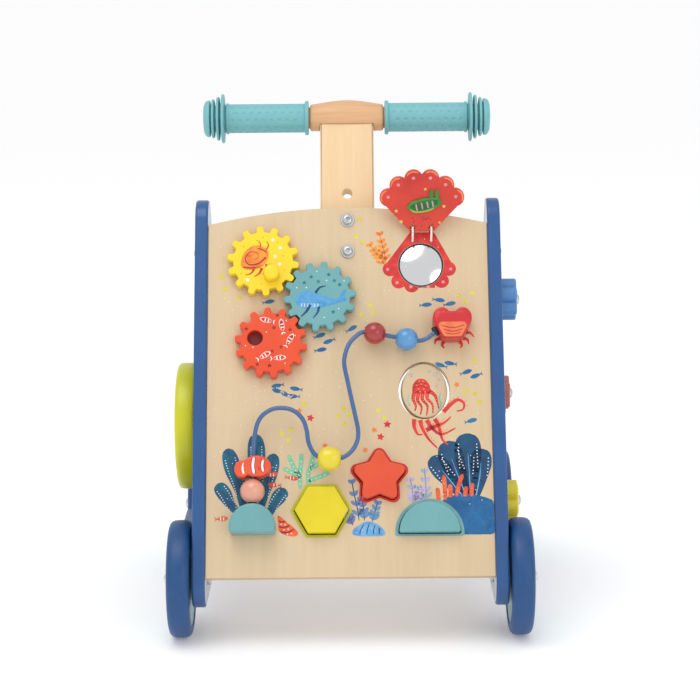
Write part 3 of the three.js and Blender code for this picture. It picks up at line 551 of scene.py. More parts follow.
def rounded(corners, steps=8):
    """A closed outline of (x, y, radius) corners, each rounded by its own radius."""
    points = []
    for before, here, after in zip(corners[-1:] + corners[:-1], corners, corners[1:] + corners[:1]):
        corner, radius = Vector(here[:2]), here[2]
        back = (Vector(before[:2]) - corner).normalized()
        ahead = (Vector(after[:2]) - corner).normalized()
        half = math.acos(max(-1, min(1, back.dot(ahead)))) / 2
        centre = corner + (back + ahead).normalized() * (radius / math.sin(half))
        start = corner + back * (radius / math.tan(half)) - centre
        end = corner + ahead * (radius / math.tan(half)) - centre
        sweep = math.atan2(start.x * end.y - start.y * end.x, start.dot(end))
        for index in range(steps + 1):
            turn = Matrix.Rotation(sweep * index / steps, 2)
            points.append(tuple(centre + turn @ start))
    return points


def polar(corners):
    """Corners given as (radius, degrees, rounding)."""
    return [(r * math.cos(math.radians(a)), r * math.sin(math.radians(a)), f) for r, a, f in corners]


def flow(points, closed=False, steps=6):
    """A smooth line through the points."""
    count = len(points)
    places = [Vector(point) for point in points]

    def at(index):
        return places[index % count] if closed else places[max(0, min(count - 1, index))]

    line = []
    for index in range(count if closed else count - 1):
        a, b, c, d = (at(index + step) for step in (-1, 0, 1, 2))
        for step in range(steps):
            t = step / steps
            line.append(0.5 * (2 * b + (c - a) * t + (2 * a - 5 * b + 4 * c - d) * t * t + (3 * b - a - 3 * c + d) * t ** 3))
    if not closed:
        line.append(places[-1])
    return [tuple(point) for point in line]


def brush(points, width, taper="round"):
    """The outline of a stroke along a smooth line: round, leaf-shaped or thinning to its tip."""
    line = [Vector(point) for point in flow(points)]
    last = len(line) - 1
    left, right = [], []
    for index, point in enumerate(line):
        share = index / last
        ahead = (line[min(last, index + 1)] - line[max(0, index - 1)]).normalized()
        side = Vector((-ahead.y, ahead.x))
        if taper == "leaf":
            reach = max(0.12, math.sin(math.pi * (0.12 + 0.88 * share)) ** 0.7)
        elif taper == "club":
            round_end = math.sqrt(max(0.03, 1 - (max(0, share - 0.72) / 0.28) ** 2))
            reach = (0.34 + 0.66 * min(1, share / 0.62)) * round_end
        elif taper == "tip":
            reach = 1 - 0.75 * share
        else:
            reach = max(0.35, min(1, 4 * share + 0.35, 4 * (1 - share) + 0.35))
        left.append(tuple(point + side * (width * reach / 2)))
        right.append(tuple(point - side * (width * reach / 2)))
    return left + right[::-1]


def little_star(x, y, radius=2.6, turn=90):
    corners = [(radius if index % 2 == 0 else radius * 0.48, turn + 36 * index, radius * 0.1) for index in range(10)]
    return [(px + x, py + y) for px, py in rounded(polar(corners), 2)]


def little_fish(x, y, length=7.5, turn=0):
    half = length / 2
    shape = flow([
        (half, 0), (half * 0.45, half * 0.36), (-half * 0.3, half * 0.26), (-half * 0.62, half * 0.08),
        (-half, half * 0.34), (-half * 0.86, 0), (-half, -half * 0.3), (-half * 0.62, -half * 0.06),
        (-half * 0.3, -half * 0.22), (half * 0.45, -half * 0.3),
    ], True, 3)
    c, s = math.cos(math.radians(turn)), math.sin(math.radians(turn))
    return [(x + px * c - py * s, y + px * s + py * c) for px, py in shape]


# ---- floor ----
clear_selection()
bpy.ops.mesh.primitive_circle_add(vertices=96, radius=60, fill_type="NGON", location=(0, 30, 0))
floor = bpy.context.object
floor.name = "studio_floor"
settle(floor)
floor.data.materials.append(looks["floor"])

# ---- side panels: rounded triangles, their inner faces in a pale grey that is a painted reflection of the white studio on the blue paint ----
PANEL = 12
BOARD_WIDTH, BOARD_TOP, CORNER_DROP = 255.4, 341, 15.5
wheel_y = middle("tyre_rear_right").y
wheel_z = middle("tyre_rear_right").z


def panel_outline():
    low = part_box("left_side_panel")[0].z * 1000
    slope = UP.y / UP.z
    front = FOOT.y * 1000 - 3 / UP.z
    peak = FOOT.z * 1000 + (BOARD_TOP - CORNER_DROP) * UP.z + 53
    start = front + (low - FOOT.z * 1000) * slope
    end = front + (peak - FOOT.z * 1000) * slope
    return rounded([(start, low, 22), (wheel_y * 1000 + 47, low, 28), (end, peak, 24)], 16)


def add_panel(side, name, holes):
    outlines = [panel_outline()]
    outlines += [circle(r, y * 1000, z * 1000, 32) for r, y, z in holes]
    blank = cut_out(name, outlines, -PANEL / 2, PANEL / 2, 2.2, 5)
    x = side * (PANEL_OUT - PANEL / 2000)
    piece = fit(blank, frame_of((0, 1, 0), (0, 0, 1), (1, 0, 0), (x, 0, 0)), "blue_paint", "frame", "blue_paint", f"{name}")
    piece.name = f"{name}_painted"
    # inward faces get the pale grey: a painted reflection of the studio on the blue paint, not a second paint
    piece.data.materials.append(looks["inner_sheen_grey"])
    for face in piece.data.polygons:
        if face.normal.x * side < -0.999 and face.area > 1e-6:
            face.material_index = 1


axle_holes = [(4.3, side * wheel_y, wheel_z) for side in (-1, 1)]
drum_at, charm_at = middle("side_drum"), {name: middle(f"side_charm_{name}") for name in ("blue", "pink", "yellow")}
add_panel(-1, "left_side_panel", axle_holes + [(4.3, drum_at.y, drum_at.z)])
add_panel(1, "right_side_panel", axle_holes + [(2.8, at.y, at.z) for at in charm_at.values()])

# ---- places on the board ----
GEARS = {name: on_board(joints[f"{name}_gear_spin"]["pos_m"]).xy for name in ("teal", "yellow", "orange")}
WINDOW = on_board(joints["disc_flip"]["pos_m"]).xy
HINGE = on_board(joints["flap_fold"]["pos_m"])
MIRROR = on_board(middle("mirror")).xy
HEXAGON = on_board(middle("hexagon_block")).xy
STAR = Vector((on_board(middle("star_block")).x, 88.8))
MOON = Vector((on_board(middle("half_moon_block")).x, on_board(middle("half_moon_block")).y - 13.5))
DOME = Vector((on_board(middle("wire_dome")).x, on_board(middle("wire_dome")).y - 13))
CRAB = Vector((93.4, 225.7))


def hexagon_outline(radius, fillet=1.6):
    return rounded(polar([(radius, 60 * index, fillet) for index in range(6)]), 5)


def star_outline(radius, inner, tip=4.4, notch=0.8, points=5, turn=90):
    step = 180 / points
    corners = [(inner if index % 2 else radius, turn + step * index, notch if index % 2 else tip) for index in range(2 * points)]
    return rounded(polar(corners), 8)


def moon_outline(radius, drop=0.0, fillet=1.2):
    arc = [(radius * math.cos(math.pi * index / 48), radius * math.sin(math.pi * index / 48)) for index in range(1, 48)]
    return [(-radius, -drop + fillet), (-radius + fillet, -drop), (radius - fillet, -drop), (radius, -drop + fillet)] + arc


def moved(outline, place):
    return [(x + place[0], y + place[1]) for x, y in outline]


# ---- activity board ----
def board_outline():
    half, corner = BOARD_WIDTH / 2, BOARD_TOP - CORNER_DROP
    radius = (half * half + CORNER_DROP ** 2) / (2 * CORNER_DROP)
    sweep = math.asin(half / radius)
    arc = [math.pi / 2 - sweep + 2 * sweep * index / 40 for index in range(41)]
    return [(-half, 0), (half, 0)] + [(radius * math.cos(a), BOARD_TOP - radius + radius * math.sin(a)) for a in arc]


LOOP_SPREAD = 8.5
board_holes = [
    ellipse(23.2, 26.4, *WINDOW), moved(hexagon_outline(24.7), HEXAGON), moved(star_outline(28.9, 16.4, 5.2), STAR),
    moved(moon_outline(27.8, 0.8), MOON), circle(3.3, 0, 298.8, 24), circle(3.3, 0, 328.8, 24),
] + [circle(4.5, *place, 32) for place in GEARS.values()]
panel = cut_out("activity_board_ply", [board_outline()] + board_holes, -THICK, 0, 0.5, 2)
recess = turned("recess", [(0, -2.2), (20.6, -2.2), (20.6, 2), (0, 2)], 72)
recess.location = (*MIRROR, 0)
settle(recess)
carve(panel, recess)
for side in (-1, 1):
    for end in (-1, 1):
        place = (HINGE.x + side * LOOP_SPREAD, HINGE.y + end * 5.2, -2.5)
        carve(panel, soft_block("slot", (3.6, 6.4, 8), place, 0.3))
smooth(panel, 30, True)
fit(panel, board, "birch", "frame", "birch", "activity_board")
panel.data.materials.append(looks["ply_edge"])
for face in panel.data.polygons:
    face.material_index = 0 if abs(face.normal.dot(OUT)) > 0.7 else 1

# ---- handle ----
STEM_BACK = -THICK - 0.3 - 16
stem_holes = [circle(3.3, 0, 298.8, 32), circle(3.3, 0, 328.8, 32), circle(4.4, 0, 358.8, 32)]
stem_sides = [(-25, 276, 5), (25, 276, 5), (25, 435.7, 0.8), (-25, 435.7, 0.8)]
stem = cut_out("handle_stem_wood", [rounded(stem_sides)] + stem_holes, STEM_BACK, -THICK - 0.3, 1.6)
fit(stem, board, "stem_wood", "frame", "birch", "handle_stem")

for name, up in (("lower", 298.8), ("upper", 328.8)):
    head = turned("head", [(0, 1.3), (0.6, 2.4), (2.2, 2.4), (2.2, 5.1), (3.1, 5.0), (4.1, 4.3), (4.7, 3.2), (4.9, 1.5), (4.9, 1.3)], 40)
    washer = turned("washer", [(3, 0.3), (6.1, 0.3), (6.4, 0.6), (6.4, 1.1), (6.1, 1.4), (3, 1.4)], 48, True)
    back = STEM_BACK - 0.3
    shank = turned("shank", [(0, back - 6.4), (2.3, back - 6.4), (3, back - 5.7), (3, 1.35), (0, 1.35)], 32)
    rear = turned("rear", [(3.05, back - 1.2), (6.8, back - 1.2), (6.8, back), (3.05, back)], 48, True)
    nut = turned("nut", [(3.05, back - 5), (4.6, back - 5), (5.6, back - 4.5), (5.6, back - 1.3), (3.05, back - 1.3)], 6, True)
    bolt = joined(f"stem_bolt_{name}_steel", [head, washer, shank, rear, nut])
    fit(bolt, board_at(0, up), "zinc", "frame", "steel", f"stem_bolt_{name}")

BAR_UP, BAR_OUT = BOARD_TOP + 95.7, -THICK - 0.3 - 8


def add_crossbar():
    """A round end drawn out along the bar in steps, each swollen towards the arched middle."""
    half, steps = 35.5, 36
    clear_selection()
    bpy.ops.mesh.primitive_circle_add(vertices=64, radius=12.4, fill_type="NGON", location=(0, 0, -half + 1.2))
    bar = bpy.context.object
    settle(bar)
    bpy.ops.object.mode_set(mode="EDIT")
    bpy.ops.mesh.select_all(action="SELECT")
    bpy.ops.transform.resize(value=(0.92, 0.92, 1), center_override=(0, 0, 0))
    heights = [-half + 1.2] + [-half + 2.4 + (2 * half - 4.8) * index / steps for index in range(steps + 1)] + [half - 1.2]
    widths = [(0.92, 0.92, 0)]
    for height in heights[1:-1]:
        bulge = math.cos(math.pi * height / (2 * half)) ** 1.3
        widths.append((1 + 0.06 * bulge, 1 + 0.2 * bulge, 1.9 * bulge))
    widths.append((0.92, 0.92, 0))
    for (z0, z1), (before, after) in zip(zip(heights, heights[1:]), zip(widths, widths[1:])):
        bpy.ops.mesh.extrude_region_move(TRANSFORM_OT_translate={"value": (0, after[2] - before[2], z1 - z0)})
        share = (after[0] / before[0], after[1] / before[1], 1)
        bpy.ops.transform.resize(value=share, center_override=(0, after[2], z1))
    bpy.ops.object.mode_set(mode="OBJECT")
    heal(bar)
    smooth(bar, 40)
    dowels = [turned("dowel", [(0, 0), (9.2, 0), (10, 0.8), (10, 57), (9.2, 57.8), (0, 57.8)], 40) for _ in range(2)]
    for dowel, side in zip(dowels, (-1, 1)):
        dowel.location = (0, 0, 34 if side > 0 else -34 - 57.8)
        settle(dowel)
    whole = joined("crossbar_wood", [bar] + dowels)
    mortise = soft_block("mortise", (17.2, 13, 50.6), (0, -6.5 - 1, 0), 0.3)
    carve(whole, mortise)
    smooth(whole, 40)
    place = frame_of(-OUT, UP, ACROSS, board @ Vector((0, BAR_UP, BAR_OUT)))
    fit(whole, place, "beech", "frame", "beech", "handle_crossbar")


add_crossbar()


def add_grip(side, name):
    """Inner flange, dimpled tube, collar, three guard rings and a domed end."""
    end, bore = 99, 10.5
    tube_steps = [4.6 + index * 0.6 for index in range(117)]
    rings = [(20.7, 18.6, 23.1), (16.1, 14.0, 20.6), (11.4, 9.3, 18.4)]
    profile = [(bore, end - 32), (bore, 0.5), (bore + 0.5, 0), (15.4, 0), (16, 0.6), (16, 2.7), (15.4, 3.3), (13.9, 3.5), (13.5, 4)]
    profile += [(13.5, z) for z in tube_steps]
    profile += [(13.6, end - 24.2), (14.4, end - 24), (14.5, end - 23.4), (14.5, end - 22.2), (13.9, end - 21.8), (12.6, end - 21.2)]
    for start, centre, radius in rings:
        low, high = end - centre - 1.4, end - centre + 1.4
        profile += [(12.3, low - 0.4), (12.6, low), (radius - 1.2, low + 0.1), (radius - 0.3, low + 0.5), (radius, low + 1.4)]
        profile += [(radius - 0.3, high - 0.5), (radius - 1.2, high - 0.1), (12.6, high), (12.3, high + 0.4)]
    profile += [(12.4, end - 7.2), (12.8, end - 6.8), (16.6, end - 6.5), (17.2, end - 5.9), (17.3, end - 4.8), (16.7, end - 3.2)]
    profile += [(15.2, end - 1.6), (12.4, end - 0.6), (8, end - 0.15), (0, end)]
    grip = turned(name, [(0, end - 32)] + profile, 144)
    dimples = [(row, column) for row in range(12) for column in range(9)]
    for radius, press in ((1.75, -0.28), (1.25, -0.3), (0.75, -0.18)):
        for vertex in grip.data.vertices:
            vertex.select = False
            x, y, z = vertex.co
            if not 5 < z < end - 26 or math.hypot(x, y) < 12.5:
                continue
            row = math.atan2(y, x) / (2 * math.pi) * 12
            nearest = round(row)
            shift = 3.7 if nearest % 2 else 0
            column = (z - 8.6 - shift) / 7.4
            if not -0.4 < column < 8.4:
                continue
            off = math.hypot((row - nearest) * 2 * math.pi * 13.5 / 12, (column - round(column)) * 7.4)
            vertex.select = off < radius
        activate(grip)
        for edge in grip.data.edges:
            edge.select = False
        for face in grip.data.polygons:
            face.select = False
        bpy.ops.object.mode_set(mode="EDIT")
        bpy.ops.transform.shrink_fatten(value=press)
        bpy.ops.object.mode_set(mode="OBJECT")
    smooth(grip, 50)
    z_axis = ACROSS * side
    place = frame_of(UP.cross(z_axis), UP, z_axis, board @ Vector((side * 35.8, BAR_UP, BAR_OUT)))
    fit(grip, place, "teal_rubber", "frame", "teal_rubber", name.replace("_rubber", ""))


add_grip(-1, "left_grip_rubber")
add_grip(1, "right_grip_rubber")

# ---- wheels ----
TYRE = [
    (42.7, 9.3), (42.9, 9.8), (43.6, 10.2), (44.6, 10.25), (47.4, 9.9), (49.6, 9.1), (51.2, 7.6), (52.1, 5.4),
    (52.45, 2.7), (52.5, 0),
]
TYRE = TYRE + [(radius, -height) for radius, height in TYRE[-2::-1]]
HUB = [
    (4.5, -9.25), (41.6, -9.25), (42.3, -8.6), (42.4, -8), (42.4, 8), (42.3, 8.6), (41.6, 9.25), (35, 9.25),
    (34.2, 9), (33, 7.6), (32, 7.3), (15.6, 7.3), (14.6, 7.6), (13.6, 8.9), (12.8, 9.25), (4.5, 9.25),
]


def add_wheel(end, side):
    word = "left" if side < 0 else "right"
    y = wheel_y if end == "rear" else -wheel_y
    body = f"wheel_{end}_{word}"
    place = station(side, y, wheel_z)
    centre = place @ Matrix.Translation((0, 0, 11.75))
    fit(turned(f"{body}_tyre", TYRE, 128, True), centre, "blue_rubber", body, "blue_rubber", f"tyre_{end}_{word}")
    fit(turned(f"{body}_hub", HUB, 96, True), centre, "hub_paint", body, "teal_paint", f"hub_{end}_{word}")
    inner = -12.3
    bolt = turned(f"axle_bolt_{end}_{word}_steel", [
        (0, inner - 2.6), (4.8, inner - 2.6), (5.6, inner - 1.9), (5.6, inner), (4, inner), (4, 21.5), (6.5, 21.5), (6.8, 21.8),
        (6.8, 23.2), (6.4, 23.6), (5.8, 24.6), (4.6, 26.4), (2.9, 27.6), (1.2, 28.05), (0, 28.1),
    ], 48)
    fit(bolt, place, "chrome", "frame", "steel", f"axle_bolt_{end}_{word}")


for end in ("front", "rear"):
    for side in (-1, 1):
        add_wheel(end, side)

# ---- gears ----
GEAR_TOP, GEAR_LOW = 11, 1.5
PHASES = {"teal": 159.557, "yellow": 326.7, "orange": 43.843}


def gear_outline():
    corners = []
    for index in range(14):
        middle_angle = index * 360 / 14
        corners += [
            (27.3, middle_angle - 7.48, 0.7), (32.8, middle_angle - 4.64, 2.1),
            (32.8, middle_angle + 4.64, 2.1), (27.3, middle_angle + 7.48, 0.7),
        ]
    return rounded(polar(corners), 6)


FINGER = (-14.2, 4.3)
for name, place in GEARS.items():
    body = f"{name}_gear"
    turn = math.radians(-PHASES[name])
    local = (FINGER[0] * math.cos(turn) - FINGER[1] * math.sin(turn), FINGER[0] * math.sin(turn) + FINGER[1] * math.cos(turn))
    holes = [circle(7, *local, 48)] if name == "orange" else []
    gear = cut_out(f"gear_{name}_wood", [gear_outline()] + holes, GEAR_LOW, GEAR_TOP, 0.9, 4)
    carve(gear, turned("bore", [(0, 0), (4.3, 0), (4.3, 6.3), (0, 6.3)], 32))
    smooth(gear, 38, True)
    fit(gear, board_at(*place, 0, PHASES[name]), f"{name}_paint", body, f"{name}_paint", f"gear_{name}")
    pin = turned(f"gear_pin_{name}_wood", [
        (0, -15), (7.2, -15), (7.9, -14.4), (8, -12.5), (4, -12.5), (4, 5.7), (3.6, 6), (0, 6),
    ], 40)
    fit(pin, board_at(*place), "beech", body, "beech", f"gear_pin_{name}")
# a dark red disc at the bottom of the finger hole: painted shade where the recess falls into shadow
floor_plate = turned("finger_hole_floor", [(0, 3), (7.3, 3), (7.3, 3.9), (0, 3.9)], 48)
fit(floor_plate, board_at(GEARS["orange"].x + FINGER[0], GEARS["orange"].y + FINGER[1]), "hole_shade_red", "orange_gear", "orange_paint")
knob = turned("gear_knob_wood", [
    (0, 0.3), (6.9, 0.3), (7.2, 0.7), (7.2, 8.6), (6.9, 9.8), (6.2, 10.7), (5.2, 11.2), (3.6, 11.3), (0, 11.35),
], 56)
fit(knob, board_at(GEARS["yellow"].x + 8, GEARS["yellow"].y - 13.5, GEAR_TOP), "yellow_paint", "yellow_gear", "yellow_paint", "gear_knob")

# ---- flip disc and its pins ----
DISC = board_at(*WINDOW, -THICK / 2) @ Matrix.Rotation(math.radians(10), 4, "Y")
disc = cut_out("flip_disc_ply", [ellipse(20.8, 25)], -4.25, 4.25, 0.9, 4)
for end in (-1, 1):
    bore = turned("bore", [(0, 0), (2, 0), (2, 12), (0, 12)], 24)
    bore.matrix_world = Matrix.Translation((0, 18 if end > 0 else -30, 0)) @ Matrix.Rotation(-math.pi / 2, 4, "X")
    settle(bore)
    carve(disc, bore)
smooth(disc, 38, True)
fit(disc, DISC, "birch", "flip_disc", "birch", "flip_disc")
for name, end in (("top", 1), ("bottom", -1)):
    pin = turned(f"flip_pin_{name}_steel", [(0, 19), (1.2, 19), (1.5, 19.3), (1.5, 32.6), (1.2, 32.9), (0, 32.9)], 24)
    tilt = Matrix.Rotation(-math.pi / 2 * end, 4, "X")
    fit(pin, board_at(*WINDOW, -THICK / 2) @ tilt, "zinc", "frame", "steel", f"flip_pin_{name}")

# ---- mirror, shell flap and slug ----
mirror = turned("mirror_glass", [(0, -1.9), (20.2, -1.9), (20.2, -0.7), (19.7, -0.4), (0, -0.4)], 96)
fit(mirror, board_at(*MIRROR), "mirror", "frame", "mirror_glass", "mirror")
rim = turned("mirror_rim", [(19.4, -0.38), (20.5, -0.38), (20.5, 0.25), (20.2, 0.4), (19.7, 0.4), (19.4, 0.15)], 96, True)
fit(rim, board_at(*MIRROR), "dark_steel", "frame", "mirror_glass")

LEAF = board_at(*HINGE) @ Matrix.Rotation(math.radians(30), 4, "X")
lobe_angles = [math.radians(24 + 26.4 * index) for index in range(6)]
lobes = [(33 * math.cos(a), 22 + 30 * math.sin(a)) for a in lobe_angles]
leaf_foot = [(-12.3, 4.6), (-11, 2.8), (11, 2.8), (12.3, 4.6)]


def shell_outline(centres, radius, foot):
    """The foot's corners, then the lobes' outer arcs in turn round the shell."""
    core = Vector((sum(c[0] for c in centres) / len(centres), (foot[0][1] + sum(c[1] for c in centres) / len(centres)) / 2))
    rim = []
    for centre in map(Vector, centres):
        outward = math.atan2(centre.y - core.y, centre.x - core.x)
        for step in range(33):
            angle = outward - 1.6 + 3.2 * step / 32
            point = centre + Vector((math.cos(angle), math.sin(angle))) * radius
            if all((point - Vector(other)).length >= radius - 1e-6 for other in centres if Vector(other) != centre):
                rim.append((math.atan2(point.y - core.y, point.x - core.x), tuple(point)))
    start = math.atan2(foot[-1][1] - core.y, foot[-1][0] - core.x)
    rim.sort(key=lambda entry: (entry[0] - start) % (2 * math.pi))
    return list(foot) + [point for _, point in rim]


leaf = cut_out("shell_flap_ply", [shell_outline(lobes, 8.4, leaf_foot), circle(2.3, 8.5, 6.5, 24), circle(2.3, -8.5, 6.5, 24)], -2.5, 2.5, 0.7, 4)
fit(leaf, LEAF, "flap_red", "shell", "red_paint", "shell_flap")
slug_sides = [(-15, 25, 2), (-6, 20, 4), (8, 22.5, 5), (18.5, 28.5, 3), (15, 35, 3), (2, 34, 6), (-9, 31, 4)]
slug = cut_out("slug_felt", [rounded(slug_sides)], 2.8, 5.2, 0.9, 3)
fit(slug, LEAF, "felt", "shell", "green_felt", "slug_applique")

for name, side in (("left", -1), ("right", 1)):
    strands = []
    for strand in range(2):
        path = []
        for index in range(120):
            angle = 2 * math.pi * index / 120
            twist = 9 * angle + math.pi * strand
            reach = 6.5 + 0.5 * math.cos(twist)
            path.append((0.5 * math.sin(twist), reach * math.cos(angle), reach * math.sin(angle)))
        strands.append(path)
    loop = tube(f"cord_loop_{name}_twist", strands, 0.58, cyclic=True, sections=2)
    fit(loop, board_at(HINGE.x + side * LOOP_SPREAD, HINGE.y, HINGE.z), "white_cord", "frame", "white_cord", f"cord_loop_{name}")

# ---- bead wire and beads ----
WIRE = [
    (-86, 53, 12), (-86, 66, 12), (-85.8, 84, 12), (-85.4, 104, 12), (-83.8, 127, 12.5), (-79.4, 140.4, 13.5),
    (-70.2, 147.8, 14.5), (-59.7, 149.3, 16), (-49.3, 146.4, 17), (-41.3, 138.4, 18), (-37.8, 128.2, 18),
    (-36.2, 117.6, 18), (-32, 108.4, 18), (-26.2, 103.8, 18), (-17.9, 102.7, 18), (-9.6, 102.7, 18), (-3, 105.2, 18),
    (2.8, 110.4, 18), (7, 118.5, 18), (7.8, 128, 18), (5.4, 141, 18), (1.8, 158, 18), (-1.4, 174, 17.7),
    (-3.9, 187, 17.2), (-3.6, 195.5, 16.6), (-0.4, 206, 15.6), (5.2, 213.6, 14.7), (13, 218.8, 14), (23.6, 217.9, 13.4),
    (38, 215.1, 12.7), (52.2, 212.4, 12.1), (62, 210.9, 11.6), (70, 213, 11), (77, 218.4, 11), (84, 224.5, 11),
]
wire = tube("bead_wire_coated", [flow(WIRE, steps=8)], 2.0, sections=4)
fit(wire, board, "wire_coat", "frame", "wire_coat", "bead_wire")


def bead_profile(radius, half, squareness, bore=4.0, steps=26):
    start = math.asin(bore / radius) ** 1.0
    points = []
    for index in range(steps + 1):
        angle = start + (math.pi - 2 * start) * index / steps
        out = abs(math.sin(angle)) ** (2 / squareness)
        reach = math.copysign(abs(math.cos(angle)) ** (2 / squareness), math.cos(angle))
        points.append((max(bore, radius * out), -half * reach))
    ends = points[0][1]
    return [(bore, ends), (bore + 0.5, ends - 0.12)] + [p for p in points if p[0] > bore + 0.6] + [(bore + 0.5, -ends + 0.12), (bore, -ends)]


def wire_direction(centre):
    place = on_board(centre)
    nearest = min(range(1, len(WIRE) - 1), key=lambda index: (Vector(WIRE[index]) - place).length)
    ahead = Vector(WIRE[nearest + 1]) - Vector(WIRE[nearest - 1])
    return (board.to_3x3() @ ahead).normalized()


for name, radius, half, squareness, look, slot in (
    ("pink", 10.9, 10.9, 2, "pink_gloss", "pink_paint"), ("yellow", 10.4, 10.8, 2.5, "yellow_gloss", "yellow_paint"),
    ("red", 10.1, 10.1, 2, "red_gloss", "red_paint"), ("blue", 10.3, 10.3, 2.1, "blue_gloss", "sky_paint"),
):
    centre = middle(f"bead_{name}")
    bead = turned(f"bead_{name}_wood", bead_profile(radius, half, squareness), 80, True)
    fit(bead, along(wire_direction(centre), centre), look, f"{name}_bead", slot, f"bead_{name}")

FISH_AT = on_board(middle("fish_bead")) + Vector((-0.1, 0.25, 0))
FISH = board @ Matrix.Translation(FISH_AT)
body = cut_out("body", [ellipse(12.8, 9.5, 3.6, 0)], -9, 9, 2.4, 6)
tail = cut_out("tail", [ellipse(7, 7.6, -9.2, -2.4)], -8.6, 8.6, 2.2, 6)
modify(body, "BOOLEAN", operation="UNION", object=tail, solver="EXACT")
bpy.data.objects.remove(tail)
bore = turned("bore", [(0, -20), (4, -20), (4, 20), (0, 20)], 40)
bore.matrix_world = Matrix.Rotation(math.pi / 2, 4, "X")
settle(bore)
carve(body, bore)
body.name = "fish_bead_wood"
smooth(body, 45)
fit(body, FISH, "fish_paint", "fish", "orange_paint", "fish_bead")

# ---- the two blocks that hold the wire ----
def dome_outline():
    arc = [(20.3 * math.cos(math.pi * index / 48), 5.7 + 20.3 * math.sin(math.pi * index / 48)) for index in range(49)]
    left = [(-20.3 + 3 - 3 * math.cos(a), 3 - 3 * math.sin(a)) for a in [math.pi / 2 * index / 8 for index in range(9)]]
    right = [(20.3 - 3 + 3 * math.sin(a), 3 - 3 * math.cos(a)) for a in [math.pi / 2 * index / 8 for index in range(9)]]
    return left + right + arc


def upright(piece, place):
    """Turns a piece made along local Z so that it runs up the board."""
    piece.matrix_world = Matrix.Translation(place) @ Matrix.Rotation(-math.pi / 2, 4, "X")
    settle(piece)
    return piece


dome = cut_out("wire_dome_wood", [dome_outline()], 0.3, 20, 2.4, 6)
carve(dome, upright(turned("socket", [(0, 0), (2.6, 0), (2.6, 20), (0, 20)], 32), (0, 14, 12)))
smooth(dome, 40)
fit(dome, board_at(*DOME), "teal_paint", "frame", "teal_paint", "wire_dome")
ring = [(2.25, 25.2), (3.4, 25.2), (3.6, 25.9), (3.4, 26.9), (2.9, 27.3), (2.25, 27.3)]
grommet = upright(turned("wire_grommet_dome", ring, 40, True), (0, 0, 12))
fit(grommet, board_at(*DOME), "black_rubber", "frame", "wire_coat")

bumps = [cut_out("bump", [ellipse(8.2, 9.5, side * 9.4, 5.3)], 0.3, 19.4, 2.2, 6) for side in (-1, 1)]
belly_sides = [(-9, -14, 4), (9, -14, 4), (17, 2, 6), (12, 11, 3), (-12, 11, 3), (-17, 2, 6)]
belly = cut_out("crab_block_wood", [rounded(belly_sides)], 0.3, 20, 2.0, 6)
for bump in bumps:
    modify(belly, "BOOLEAN", operation="UNION", object=bump, solver="EXACT")
    bpy.data.objects.remove(bump)
inward = (Vector(WIRE[-1]) - Vector(WIRE[-3])).normalized()
bore_place = Vector(WIRE[-1]) - Vector((*CRAB, 0))
bore = turned("bore", [(0, -14), (3.2, -14), (3.2, 2), (0, 2)], 32)
bore.matrix_world = Matrix.Translation(bore_place) @ inward.to_track_quat("Z", "Y").to_matrix().to_4x4()
settle(bore)
carve(belly, bore)
smooth(belly, 40)
fit(belly, board_at(*CRAB), "red_paint", "frame", "red_paint", "crab_block")
grommet = turned("wire_grommet_crab", [(2.25, -8.9), (4.1, -8.9), (4.6, -8.2), (4.6, -6.6), (4.1, -5.9), (2.25, -5.9)], 40, True)
grommet.matrix_world = Matrix.Translation(bore_place) @ inward.to_track_quat("Z", "Y").to_matrix().to_4x4()
settle(grommet)
fit(grommet, board_at(*CRAB), "black_rubber", "frame", "wire_coat")

# ---- shape sorter ----
for name, outline, place, look, body, slot in (
    ("hexagon_block", hexagon_outline(23.8), HEXAGON, "hexagon_paint", "hexagon", "lime_paint"),
    ("star_block", star_outline(27.5, 15.6), STAR, "star_paint", "star", "orange_paint"),
    ("half_moon_block", moon_outline(27), MOON, "teal_paint", "half_moon", "teal_paint"),
):
    block = cut_out(f"{name}_wood", [outline], -12, 8, 1.3 if name == "star_block" else 1.0, 5)
    fit(block, board_at(*place), look, body, slot, name)
low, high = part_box("sorter_backing")
sides = [on_board((low.x, 0, 0)).x, on_board((high.x, 0, 0)).x]
backing_low, backing_high = MOON.y - 14, STAR.y + 27.5 + 14
corners = [(sides[0], backing_low, 4), (sides[1], backing_low, 4), (sides[1], backing_high, 4), (sides[0], backing_high, 4)]
backing = cut_out("sorter_backing_ply", [rounded(corners)], -17.3, -12.3, 0.8)
fit(backing, board, "birch", "frame", "birch", "sorter_backing")
for x in (sides[0] + 8, sides[1] - 8):
    for y in (backing_low + 8, backing_high - 8):
        screw = turned("backing_screw", [(0, 1.1), (1.3, 1.1), (1.5, 1.5), (3.2, 1.2), (3.6, 0.6), (3.7, 0), (0, 0)], 32)
        back = board_at(x, y, -17.3) @ Matrix.Rotation(math.pi, 4, "X")
        fit(screw, back, "dark_steel", "frame", "steel").name = f"backing_screw_{x > 0:d}_{y > 60:d}"

# ---- drum and spinners on the panels ----
drum = turned("side_drum_wood", [
    (4.5, 0.5), (56, 0.5), (57.6, 1.2), (58.5, 3), (58.5, 13), (58.3, 14.8), (57.6, 16.3), (56, 17.5), (53.5, 18),
    (40, 18), (39.4, 17.8), (38.8, 17.2), (38, 17), (37.2, 17.2), (36.6, 17.8), (36, 18), (16, 18), (15, 17.8), (14, 17.2),
    (13, 17.8), (12, 18), (4.5, 18),
], 128, True)
drum_place = station(-1, drum_at.y, drum_at.z)
fit(drum, drum_place, "lime_paint", "drum", "lime_paint", "side_drum")


